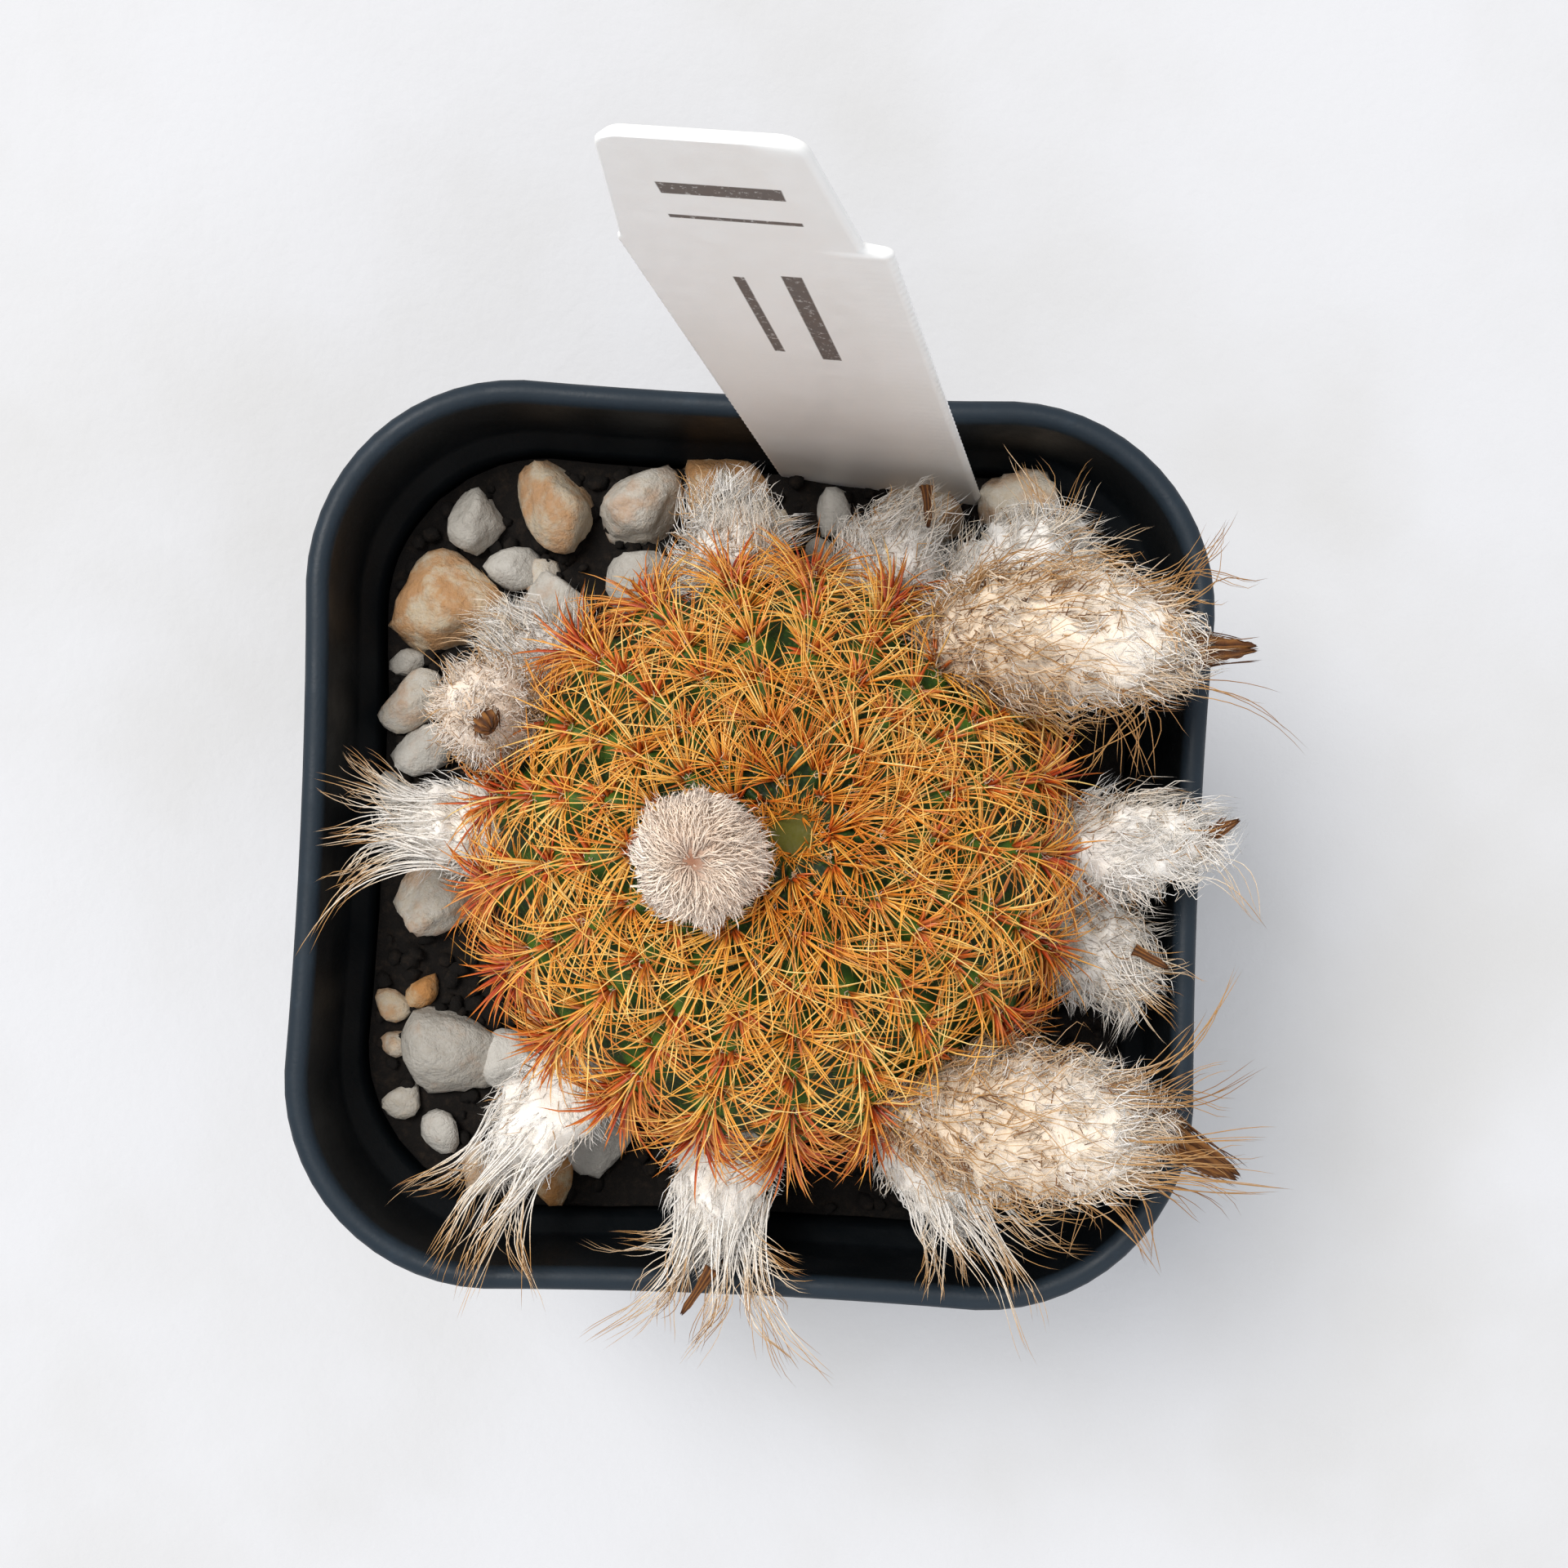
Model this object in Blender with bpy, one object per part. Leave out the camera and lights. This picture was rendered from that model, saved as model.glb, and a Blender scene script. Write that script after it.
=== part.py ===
"""A small round cactus with golden spines and woolly fruits, in a square plastic nursery pot of 60 mm.

The origin is at the middle of the pot's base and +Z is up.
Sizes are in millimetres; MM turns them into metres.
"""

import math
import random

import bmesh
import bpy
from mathutils import Matrix, Vector

MM = 0.001
CLEARANCE = 0.3

# Pot: a square with rounded corners and sides that bow in a little, from base to rim.
POT_HEIGHT = 55.0
RIM_HALF = 30.0
RIM_CORNER = 13.8
LIP_WIDTH = 1.4
BASE_HALF = 22.5
BASE_CORNER = 9.8
SIDE_BOW = 0.35
WALL = 1.0
FLOOR = 2.0
COLLAR_HEIGHT = 9.0
COLLAR_BOTTOM = POT_HEIGHT - COLLAR_HEIGHT
COLLAR_HALF = 27.6
COLLAR_CORNER = 12.4
OUTER_STEP = 1.5
OUTER_RISE = 0.8
INNER_STEP = 1.3
INNER_RISE = 1.2
CORNER_GROWTH = 0.6
EDGE = 0.5
LIP_BEVEL = 0.2
CORNER_STEPS = 6
SIDE_STEPS = 2
DRAIN_RADIUS = 3.0
DRAIN_OFFSET = 12.0
DRAIN_SIDES = 16
CHANNEL_WIDTH = 3.0
CHANNEL_DEPTH = 0.8

# Soil and the gravel on top of it.
SOIL_TOP = 44.7
GRAVEL_BOTTOM = 45.0
GRAVEL_BED = 46.2
GRAVEL_ROOM = 52.0
GRAVEL_RISE = 0.2
BED_MARGIN = 0.5
PEBBLE_AT_WALL = 0.5
PEBBLE_AT_BODY = 0.3
PEBBLE_MOST = 3.4
PEBBLE_LEAST = 2.2
PEBBLE_TRIES = 900
PEBBLE_FLATNESS = 0.72
PEBBLE_ROUGHNESS = 0.16
PEBBLE_CROWDING = 0.86
PEBBLE_TILT = 0.4
BODY_AT_GRAVEL = 13.6

# Cactus body: a squat globe, leaning a little, with knobbly ribs.
BODY_CENTRE = Vector((1.8, -0.6, 57.5))
BODY_TOP_POINT = Vector((2.6, 1.4, 72.9))
BODY_RADIUS = 17.3
BODY_ABOVE = 15.4
BODY_BELOW = 17.5
CROWN_DIP = 0.8
DIP_SPREAD = 9.0
RIBS = 21
RIB_STARTS = 8
RIB_HEIGHT = 1.0
RIB_COLUMNS = 3
RIDGE_SHARE = 0.4
FURROW_SHARE = 0.1
FADE_ROWS = 3
ROWS = 10
FIRST_ROW = 12.0
ROW_STEP = 10.3
LOWER_RINGS = 3
SPINE_LENGTH = 4.6
SPINE_RADIUS = 0.2
SPINE_SUNK = 0.75
SPINE_SPREAD = 0.5
SPINE_ROOM = 0.35
SPINE_SAMPLES = 5
SLOPE_STEP = 1.0
CROWN_SKIPS = (3, 2)
CROWN_SHARE = 0.8
GRAVEL_REACH = 49.3

# An areole's spines: how far each points outward, to the crown and aside, and its share of SPINE_LENGTH.
SPINES = (
    (0.68, -0.6, 0.5, 0.92),
    (0.72, -0.12, -0.7, 0.85),
    (0.9, 0.4, 0.15, 1.0),
)

# Taproot under the body.
ROOT_RADIUS = 4.0
ROOT_TIP_RADIUS = 0.8
ROOT_LENGTH = 24.0
ROOT_SIDES = 16

# Plant label: a punched plastic strip, stuck in at a slant.
LABEL_FOOT = Vector((8.1, 25.1, 45.0))
LABEL_NOTCH = Vector((-0.66, 30.73, 90.15))
LABEL_YAW = math.radians(-6.0)
LABEL_WIDTH = 14.0
LABEL_THICK = 0.6
LABEL_BURIED = 20.0
LABEL_POINT = 15.0
LABEL_HEAD = 12.0
LABEL_TOP_WIDTH = 9.6
NOTCH_RIGHT = 1.35
NOTCH_LEFT = 0.25
NOTCH_SLOPE = 0.4
LABEL_CORNER = 1.1
LABEL_CORNER_STEPS = 4
LABEL_TIP_HALF = 0.7
LABEL_SLOT_ABOVE = 12.0
WELD_DISTANCE = 1e-6

# Wool: every head has a core, short locks all over it and long dry strands at its outer end.
CORE_SHARE = 0.7
CORE_SIDES = 10
CORE_RINGS = 6
LOCK_RADIUS = 0.62
LOCK_LENGTH = 2.3
LOCK_SUNK = 0.8
LOCK_FIRST = 0.16
LOCK_LAST = 0.96
LOCK_LEAN = 0.5
LOCK_LEAN_VARIES = 0.3
LOCK_LENGTH_VARIES = 0.15
STRAND_RADIUS = 0.42
STRAND_TIP_SHARE = 0.35
STRAND_POINTS = 4
STRAND_START = 0.7
STRAND_ASIDE = 0.6
STRAND_BEND = 0.5
STRAND_RISE = 0.8
STEEP_SIDE = 0.3
WOOL_STEPS = 10
WOOL_ROOM = 0.9
STRAND_STEPS = 4
STRAND_ROOM = 0.3
GOLDEN_ANGLE = math.radians(137.508)
SEAT_LIFT = RIB_HEIGHT + CLEARANCE

# Each head: its root on the body, a point that its middle bends towards, and its outer end.
HEADS = {
    "bud_top": dict(
        path=((-1.9, -0.2, 70.5), (-2.4, -0.2, 74.0), (-2.8, -0.3, 78.2)),
        width=7.6, flare=0.25, locks=27, strands=(),
    ),
    "fruit_upper_right": dict(
        path=((9.6, 11.6, 63.0), (15.0, 15.4, 66.3), (25.7, 13.1, 66.2)),
        width=9.4, flare=0.35, locks=27,
        strands=(
            (28.0, 21.1, 67.5), (29.4, 18.6, 68.5), (29.6, 16.8, 64.5), (34.4, 10.5, 67.0),
            (35.3, 6.9, 65.5), (27.6, 8.4, 69.0), (24.5, 4.4, 65.0), (21.2, 5.6, 63.0),
        ),
    ),
    "fruit_lower_right": dict(
        path=((8.2, -13.2, 62.5), (15.3, -17.4, 65.0), (25.2, -15.6, 65.4)),
        width=10.2, flare=0.3, locks=28,
        strands=(
            (29.9, -7.4, 67.0), (31.4, -11.4, 68.0), (32.6, -13.6, 64.5), (34.5, -19.3, 67.5),
            (30.2, -22.9, 63.0), (26.4, -25.2, 65.5), (21.3, -25.6, 64.0), (33.6, -16.6, 69.5),
        ),
    ),
    "fruit_left": dict(
        path=((-13.6, 6.6, 59.5), (-16.8, 8.1, 62.0), (-16.7, 7.9, 67.4)),
        width=6.8, flare=0.1, locks=19, strands=((-19.4, 11.2, 68.0), (-20.2, 6.6, 67.0)),
    ),
    "tuft_left": dict(
        path=((-13.6, 0.2, 53.0), (-18.8, 0.4, 53.4), (-23.4, 0.6, 54.0)),
        width=8.0, flare=0.0, locks=17,
        strands=((-28.2, -7.0, 57.6), (-28.0, -0.4, 57.2), (-28.3, 2.8, 58.0), (-26.6, 5.4, 57.4)),
    ),
    "tuft_lower_left": dict(
        path=((-8.0, -12.6, 52.6), (-12.4, -18.0, 53.0), (-15.4, -21.8, 53.6)),
        width=8.4, flare=0.0, locks=17,
        strands=((-21.6, -24.6, 54.2), (-17.6, -30.3, 58.0), (-13.4, -29.0, 57.4), (-19.6, -27.4, 56.9)),
    ),
    "tuft_bottom": dict(
        path=((0.2, -15.8, 52.8), (-0.8, -22.0, 53.2), (-1.2, -26.2, 54.4)),
        width=9.0, flare=0.0, locks=19,
        strands=(
            (-7.9, -32.3, 58.2), (-4.6, -31.0, 57.2), (-1.6, -33.9, 58.0), (2.2, -31.8, 57.4),
            (5.8, -33.8, 58.6), (7.2, -27.2, 56.9), (-9.6, -26.4, 54.6),
        ),
    ),
    "tuft_lower_right": dict(
        path=((8.6, -14.2, 53.0), (12.4, -20.0, 53.2), (14.6, -24.0, 54.0)),
        width=8.0, flare=0.0, locks=17,
        strands=((12.9, -28.9, 57.0), (16.4, -28.7, 57.2), (21.0, -31.0, 58.0), (23.4, -25.8, 56.2)),
    ),
    "tuft_right_low": dict(
        path=((17.6, -3.2, 53.4), (22.8, -4.4, 54.0), (25.2, -8.4, 55.0)),
        width=7.0, flare=0.0, locks=15, strands=((27.6, -10.8, 57.0), (30.0, -6.6, 58.2)),
    ),
    "tuft_right": dict(
        path=((17.6, 0.6, 57.8), (23.6, 1.2, 59.4), (28.8, 1.7, 60.2)),
        width=5.8, flare=0.1, locks=17, strands=((33.3, -2.8, 58.6),),
    ),
    "tuft_upper_right": dict(
        path=((10.8, 12.0, 52.8), (15.6, 18.4, 52.8), (20.0, 21.8, 53.6)),
        width=7.6, flare=0.1, locks=14, strands=((22.6, 24.2, 56.2), (24.6, 20.8, 56.0), (17.4, 26.0, 56.0)),
    ),
    "tuft_top_right": dict(
        path=((6.6, 13.6, 53.2), (8.4, 18.6, 53.6), (9.6, 22.4, 54.6)),
        width=6.8, flare=0.0, locks=14, strands=((7.6, 22.8, 57.6), (11.6, 22.4, 58.0)),
    ),
    "tuft_top": dict(
        path=((-0.6, 14.6, 52.8), (-1.7, 19.4, 53.0), (-2.4, 22.8, 53.6)),
        width=7.2, flare=0.0, locks=14, strands=((-5.0, 24.8, 55.2), (-6.6, 22.4, 55.0)),
    ),
    "tuft_upper_left": dict(
        path=((-11.0, 9.0, 52.8), (-14.2, 11.4, 53.0), (-16.8, 13.4, 54.0)),
        width=5.8, flare=0.0, locks=14, strands=((-19.6, 16.2, 56.2), (-20.4, 12.8, 56.0)),
    ),
}
LOWEST_WOOL = 49.5

# Dried flowers at the outer ends of some heads: start, end, radius at each end.
FLOWERS = {
    "dried_flower_upper_right": dict(
        head="fruit_upper_right", ends=((24.8, 13.1, 66.2), (30.2, 13.6, 65.2)), radii=(1.5, 0.5),
    ),
    "dried_flower_lower_right": dict(
        head="fruit_lower_right", ends=((24.3, -15.2, 65.4), (30.8, -18.7, 63.8)), radii=(1.6, 0.7),
    ),
    "dried_flower_left": dict(
        head="fruit_left", ends=((-16.2, 7.4, 66.4), (-15.3, 6.6, 69.0)), radii=(0.8, 0.5),
    ),
    "dried_flower_right": dict(
        head="tuft_right", ends=((28.2, 1.6, 60.2), (30.6, 3.1, 61.5)), radii=(0.7, 0.45),
    ),
}
PLEATS = 6
PLEAT_DEPTH = 0.28
SEAT_MOUTH = 2.0
SEAT_ROOM = 1.5


def clear_scene():
    for obj in list(bpy.data.objects):
        bpy.data.objects.remove(obj, do_unlink=True)


def new_collection(name):
    collection = bpy.data.collections.new(name)
    bpy.context.scene.collection.children.link(collection)
    return collection


def coat(name, color, roughness, metallic=0.0):
    material = bpy.data.materials.new(name)
    material.use_nodes = True
    shader = material.node_tree.nodes["Principled BSDF"]
    shader.inputs["Base Color"].default_value = (*color, 1.0)
    shader.inputs["Roughness"].default_value = roughness
    shader.inputs["Metallic"].default_value = metallic
    material.diffuse_color = (*color, 1.0)
    return material


def make_object(name, bm, material, collection, origin=Vector()):
    """The bmesh, drawn in millimetres, as an object in metres whose own origin is at the given point."""
    bmesh.ops.translate(bm, verts=bm.verts, vec=-origin)
    bmesh.ops.scale(bm, verts=bm.verts, vec=(MM, MM, MM))
    mesh = bpy.data.meshes.new(name)
    bm.to_mesh(mesh)
    bm.free()
    if material:
        mesh.materials.append(material)
    obj = bpy.data.objects.new(name, mesh)
    obj.location = origin * MM
    collection.objects.link(obj)
    return obj


def make_cutter(name, bm, cutters):
    cutter = make_object(name, bm, None, cutters)
    cutter.hide_render = True
    cutter.display_type = "WIRE"
    return cutter


def boolean(obj, operation, other):
    modifier = obj.modifiers.new(operation.lower(), "BOOLEAN")
    modifier.operation = operation
    modifier.solver = "EXACT"
    if isinstance(other, bpy.types.Collection):
        modifier.operand_type = "COLLECTION"
        modifier.collection = other
    else:
        modifier.object = other


def apply_modifiers(obj):
    graph = bpy.context.evaluated_depsgraph_get()
    applied = bpy.data.meshes.new_from_object(obj.evaluated_get(graph))
    plain = obj.data
    obj.modifiers.clear()
    obj.data = applied
    bpy.data.meshes.remove(plain)
    applied.name = obj.name


def fuse(obj, repeats):
    """Joins every object of the collection to this one, and removes the collection with its objects."""
    boolean(obj, "UNION", repeats)
    apply_modifiers(obj)
    for repeat in list(repeats.objects):
        bpy.data.objects.remove(repeat, do_unlink=True)
    bpy.data.collections.remove(repeats)


def islands(bm):
    """The mesh's vertices in connected groups, largest first."""
    groups = []
    left = set(bm.verts)
    while left:
        group = {left.pop()}
        edge_of_group = list(group)
        while edge_of_group:
            vert = edge_of_group.pop()
            fresh = {edge.other_vert(vert) for edge in vert.link_edges} - group
            group |= fresh
            edge_of_group.extend(fresh)
        left -= group
        groups.append(group)
    return sorted(groups, key=len, reverse=True)


def drop_scraps(obj):
    bm = bmesh.new()
    bm.from_mesh(obj.data)
    for scrap in islands(bm)[1:]:
        bmesh.ops.delete(bm, geom=list(scrap), context="VERTS")
    bm.to_mesh(obj.data)
    bm.free()


def shade(obj, angle):
    obj.data.shade_smooth()
    obj.data.set_sharp_from_angle(angle=math.radians(angle))


def rounded_square(half, corner):
    """Points of one level: four corner arcs, and between them sides that bow in by SIDE_BOW at the middle."""
    straight = half - corner
    quarter = []
    for step in range(CORNER_STEPS + 1):
        angle = step / CORNER_STEPS * math.pi / 2
        quarter.append((straight + corner * math.cos(angle), straight + corner * math.sin(angle)))
    for step in range(1, SIDE_STEPS + 1):
        along = 1 - 2 * step / (SIDE_STEPS + 1)
        quarter.append((straight * along, half - SIDE_BOW * (1 - along * along)))
    points = []
    for turn in range(4):
        for x, y in quarter:
            for _ in range(turn):
                x, y = -y, x
            points.append((x, y))
    return points


def loft(levels):
    """A closed surface through levels of (height, half width, corner radius), capped at both ends."""
    bm = bmesh.new()
    rings = []
    for height, half, corner in levels:
        rings.append([bm.verts.new((x, y, height)) for x, y in rounded_square(half, corner)])
    count = len(rings[0])
    for lower, upper in zip(rings, rings[1:]):
        for i in range(count):
            after = (i + 1) % count
            bm.faces.new((lower[i], lower[after], upper[after], upper[i]))
    bm.faces.new(reversed(rings[0]))
    bm.faces.new(rings[-1])
    return bm


def between(start, end, share):
    return start + (end - start) * share


def inner_wall(height, gap=0.0):
    """Half width and corner radius inside the pot below its step, less a gap."""
    share = height / COLLAR_BOTTOM
    half = between(BASE_HALF, COLLAR_HALF, share) - WALL
    corner = between(BASE_CORNER, COLLAR_CORNER, share) - WALL
    return half - gap, corner - gap


def inner_collar(gap=0.0):
    """Half width and corner radius inside the pot above its step, less a gap."""
    half, corner = inner_wall(COLLAR_BOTTOM, gap)
    return half + INNER_STEP, corner + INNER_STEP * CORNER_GROWTH


def corner_turns():
    """The four rotations from +X to the pot's corners."""
    return [Matrix.Rotation((quarter + 0.5) * math.pi / 2, 4, "Z") for quarter in range(4)]


def turn_to(direction):
    """The rotation from +Z to a direction."""
    return Vector((0, 0, 1)).rotation_difference(direction).to_matrix().to_4x4()


def add_tool_box(bm, size, place):
    bmesh.ops.create_cube(bm, size=1.0, matrix=place @ Matrix.Diagonal((*size, 1.0)))


def make_pot(parts, cutters):
    """A tapered shell with a wider collar, and four drain holes, each with a channel to its corner."""
    inner_lip = LIP_WIDTH + LIP_BEVEL
    levels = (
        (0.0, BASE_HALF - EDGE, BASE_CORNER - EDGE),
        (EDGE, BASE_HALF, BASE_CORNER),
        (COLLAR_BOTTOM, COLLAR_HALF, COLLAR_CORNER),
        (COLLAR_BOTTOM + OUTER_RISE, COLLAR_HALF + OUTER_STEP, COLLAR_CORNER + OUTER_STEP * CORNER_GROWTH),
        (POT_HEIGHT - EDGE, RIM_HALF, RIM_CORNER),
        (POT_HEIGHT, RIM_HALF - EDGE, RIM_CORNER - EDGE),
        (POT_HEIGHT, RIM_HALF - LIP_WIDTH, RIM_CORNER - LIP_WIDTH),
        (POT_HEIGHT - EDGE, RIM_HALF - inner_lip, RIM_CORNER - inner_lip),
        (COLLAR_BOTTOM + INNER_RISE, *inner_collar()),
        (COLLAR_BOTTOM, *inner_wall(COLLAR_BOTTOM)),
        (FLOOR, *inner_wall(FLOOR)),
    )
    pot = make_object("pot", loft(levels), coat("pot_plastic", (0.03, 0.045, 0.06), 0.5), parts)

    start = DRAIN_OFFSET * math.sqrt(2)
    length = 2 * BASE_HALF - start
    holes = bmesh.new()
    channels = bmesh.new()
    for turn in corner_turns():
        bmesh.ops.create_cone(
            holes, cap_ends=True, segments=DRAIN_SIDES, radius1=DRAIN_RADIUS, radius2=DRAIN_RADIUS,
            depth=4 * FLOOR, matrix=turn @ Matrix.Translation((start, 0, 0)),
        )
        place = turn @ Matrix.Translation((start + length / 2, 0, 0))
        add_tool_box(channels, (length, CHANNEL_WIDTH, 2 * CHANNEL_DEPTH), place)
    boolean(pot, "DIFFERENCE", make_cutter("drain_holes", holes, cutters))
    boolean(pot, "DIFFERENCE", make_cutter("drain_channels", channels, cutters))
    shade(pot, 30)


def body_turn():
    """The rotation that leans the body's own axis towards its top point."""
    return turn_to(BODY_TOP_POINT - BODY_CENTRE)


def body_place():
    return Matrix.Translation(BODY_CENTRE) @ body_turn()


def globe_point(polar, around, lift=0.0):
    """A point of the smooth body in its own frame: polar is the angle down from the crown, in degrees."""
    angle = math.radians(polar)
    height = (BODY_ABOVE if polar < 90 else BODY_BELOW) + lift
    dip = CROWN_DIP * math.exp(-((polar / DIP_SPREAD) ** 2))
    across = (BODY_RADIUS + lift) * math.sin(angle)
    return Vector((
        across * math.cos(around),
        across * math.sin(around),
        (height - dip) * math.cos(angle),
    ))


def globe_bmesh(lift, sides=28, rings=16):
    """The smooth body, grown by a lift, where it stands."""
    bm = bmesh.new()
    bmesh.ops.create_uvsphere(bm, u_segments=sides, v_segments=rings, radius=1.0)
    for vert in bm.verts:
        height = (BODY_ABOVE if vert.co.z > 0 else BODY_BELOW) + lift
        vert.co = Vector((
            vert.co.x * (BODY_RADIUS + lift),
            vert.co.y * (BODY_RADIUS + lift),
            vert.co.z * height,
        ))
    bmesh.ops.transform(bm, matrix=body_place(), verts=bm.verts)
    return bm


def row_shift(rib):
    """How far a rib's rows lie along it, in rows from -0.5 to 0.5, so that the areoles wind in spirals."""
    return (rib * RIB_STARTS / RIBS) % 1.0 - 0.5


def knob_lift(row):
    """How far a row's knobs stand out: RIB_HEIGHT, less in the first rows at the crown."""
    return RIB_HEIGHT * min(1.0, (row + 1) / FADE_ROWS)


def row_polar(row, rib):
    """The angle down from the crown, in degrees, of a row's knob on a rib."""
    return FIRST_ROW + ROW_STEP * (row + row_shift(rib))


def ring_polars():
    """The polar angle and the row number of each ring, two rings to a row, then a few down to the foot."""
    rings = []
    for half_row in range(2 * ROWS):
        rings.append((FIRST_ROW + ROW_STEP * half_row / 2, half_row / 2))
    last = rings[-1][0]
    for step in range(1, LOWER_RINGS + 1):
        rings.append((between(last, 180.0, step / (LOWER_RINGS + 1)), None))
    return rings


def body_bmesh():
    """The globe with its ribs: radius grows by RIB_HEIGHT along each rib's ridge, more at each knob."""
    columns = RIBS * RIB_COLUMNS
    polars = ring_polars()
    bm = bmesh.new()
    bmesh.ops.create_uvsphere(bm, u_segments=columns, v_segments=len(polars) + 1, radius=1.0)
    for vert in bm.verts:
        ring = round(math.acos(max(-1.0, min(1.0, vert.co.z))) / math.pi * (len(polars) + 1))
        if ring in (0, len(polars) + 1):
            vert.co = globe_point(180.0 * (ring > 0), 0.0)
            continue
        polar, row = polars[ring - 1]
        column = round(math.atan2(vert.co.y, vert.co.x) / (2 * math.pi) * columns) % columns
        rib = ((column + 1) // RIB_COLUMNS) % RIBS
        around = column / columns * 2 * math.pi
        ridge = 1.0 if column % RIB_COLUMNS == 0 else FURROW_SHARE
        if row is None:
            lift = 0.0
        else:
            polar += ROW_STEP * row_shift(rib)
            knob = 1.0 if row == int(row) else 0.0
            bump = RIDGE_SHARE + (1 - RIDGE_SHARE) * knob
            lift = knob_lift(row) * ridge * bump
        vert.co = globe_point(polar, around, lift)
    return bm


def areoles():
    """Each spine cushion's point, outward direction and direction towards the crown, and its row and rib."""
    place = body_place()
    turn = body_turn().to_3x3()
    for rib in range(RIBS):
        around = rib / RIBS * 2 * math.pi
        for row in range(ROWS):
            polar = row_polar(row, rib)
            here = globe_point(polar, around, knob_lift(row))
            higher = globe_point(polar - SLOPE_STEP, around, knob_lift(row))
            beside = globe_point(polar, around + math.radians(SLOPE_STEP), knob_lift(row))
            to_crown = (higher - here).normalized()
            outward = (beside - here).cross(to_crown).normalized()
            yield place @ here, turn @ outward, turn @ to_crown, row, rib


def head_path(head):
    return [Vector(point) for point in head["path"]]


def bezier(points, share):
    start, middle, end = points
    return start * (1 - share) ** 2 + middle * 2 * share * (1 - share) + end * share ** 2


def bezier_slope(points, share):
    start, middle, end = points
    return ((middle - start) * (1 - share) + (end - middle) * share).normalized()


def head_frame(points, share):
    """Across and up directions, square to the head's path."""
    along = bezier_slope(points, share)
    side = along.cross(Vector((0, 0, 1)))
    if side.length < STEEP_SIDE:
        side = Vector((1, 0, 0))
    side.normalize()
    return side, side.cross(along).normalized(), along


def head_radius(head, share):
    """Half the wool's width along its path: an ellipse that swells towards the outer end by the flare."""
    ellipse = math.sqrt(max(0.0, 1 - (2 * share - 1) ** 2))
    return head["width"] / 2 * ellipse * (1 + head["flare"] * (2 * share - 1))


def strand_points(head, tip):
    """A bezier from inside the wool, off its middle on the tip's side, that leaves along the head's path."""
    points = head_path(head)
    tip = Vector(tip)
    along = bezier_slope(points, 1.0)
    aside = tip - points[-1]
    aside = (aside - along * aside.dot(along)).normalized()
    start = bezier(points, STRAND_START) + aside * head_radius(head, STRAND_START) * STRAND_ASIDE
    bend = start + along * (tip - start).length * STRAND_BEND + Vector((0, 0, STRAND_RISE))
    return [bezier((start, bend, tip), i / (STRAND_POINTS - 1)) for i in range(STRAND_POINTS)]


def wool_room():
    """Balls of (centre, radius) that the wool and its strands fill, for the spines to stay out of."""
    balls = []
    for head in HEADS.values():
        points = head_path(head)
        for step in range(WOOL_STEPS + 1):
            share = step / WOOL_STEPS
            balls.append((bezier(points, share), head_radius(head, share) + WOOL_ROOM))
        for tip in head["strands"]:
            route = strand_points(head, tip)
            for first, second in zip(route, route[1:]):
                for step in range(STRAND_STEPS):
                    balls.append((between(first, second, step / STRAND_STEPS), STRAND_RADIUS + STRAND_ROOM))
    return balls


def touches(points, balls):
    return any((point - ball).length < radius + SPINE_ROOM for point in points for ball, radius in balls)


def spine_directions(outward, to_crown, row, rib):
    """An areole's spines as (direction, share of length), turned to the other side on every second one."""
    side = to_crown.cross(outward) * (1.0 if (row + rib) % 2 else -1.0)
    for out, crown, aside, share in SPINES:
        yield (outward * out + to_crown * crown + side * aside).normalized(), share


def make_spines(spines):
    bm = bmesh.new()
    bmesh.ops.create_cone(
        bm, cap_ends=True, segments=3, radius1=SPINE_RADIUS, radius2=0.0, depth=1.0,
        matrix=Matrix.Translation((0, 0, 0.5)),
    )
    needle = make_object("needle", bm, None, spines)
    shape = needle.data
    bpy.data.objects.remove(needle)
    balls = wool_room()
    for root, outward, to_crown, row, rib in areoles():
        if row < len(CROWN_SKIPS) and rib % CROWN_SKIPS[row]:
            continue
        for direction, share in spine_directions(outward, to_crown, row, rib):
            length = SPINE_LENGTH * share * (CROWN_SHARE if row < len(CROWN_SKIPS) else 1.0)
            reach = direction * length / SPINE_SAMPLES
            samples = [root + reach * step for step in range(1, SPINE_SAMPLES + 1)]
            if min(point.z for point in samples) < GRAVEL_REACH:
                continue
            if touches(samples, balls):
                continue
            lean = direction - outward * direction.dot(outward)
            foot = root + lean.normalized() * SPINE_SPREAD - direction * SPINE_SUNK
            stretch = Matrix.Diagonal((1.0, 1.0, length + SPINE_SUNK, 1.0))
            spine = bpy.data.objects.new("spine", shape)
            spine.matrix_world = Matrix.Translation(foot * MM) @ turn_to(direction) @ stretch
            spines.objects.link(spine)


def make_body(parts):
    skin = coat("cactus_skin", (0.12, 0.24, 0.06), 0.6)
    body = make_object("cactus_body", body_bmesh(), skin, parts)
    body.matrix_world = Matrix.Translation(BODY_CENTRE * MM) @ body_turn()
    spines = new_collection("spines")
    make_spines(spines)
    fuse(body, spines)
    drop_scraps(body)
    shade(body, 40)


def make_root(parts):
    """A turned taproot, straight down in the body's own frame, from just below the body's foot."""
    bm = bmesh.new()
    top = -BODY_BELOW - CLEARANCE
    bmesh.ops.create_cone(
        bm, cap_ends=True, segments=ROOT_SIDES, radius1=ROOT_TIP_RADIUS, radius2=ROOT_RADIUS,
        depth=ROOT_LENGTH, matrix=body_place() @ Matrix.Translation((0, 0, top - ROOT_LENGTH / 2)),
    )
    root = make_object("taproot", bm, coat("root_bark", (0.28, 0.18, 0.1), 0.9), parts)
    shade(root, 40)


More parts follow.
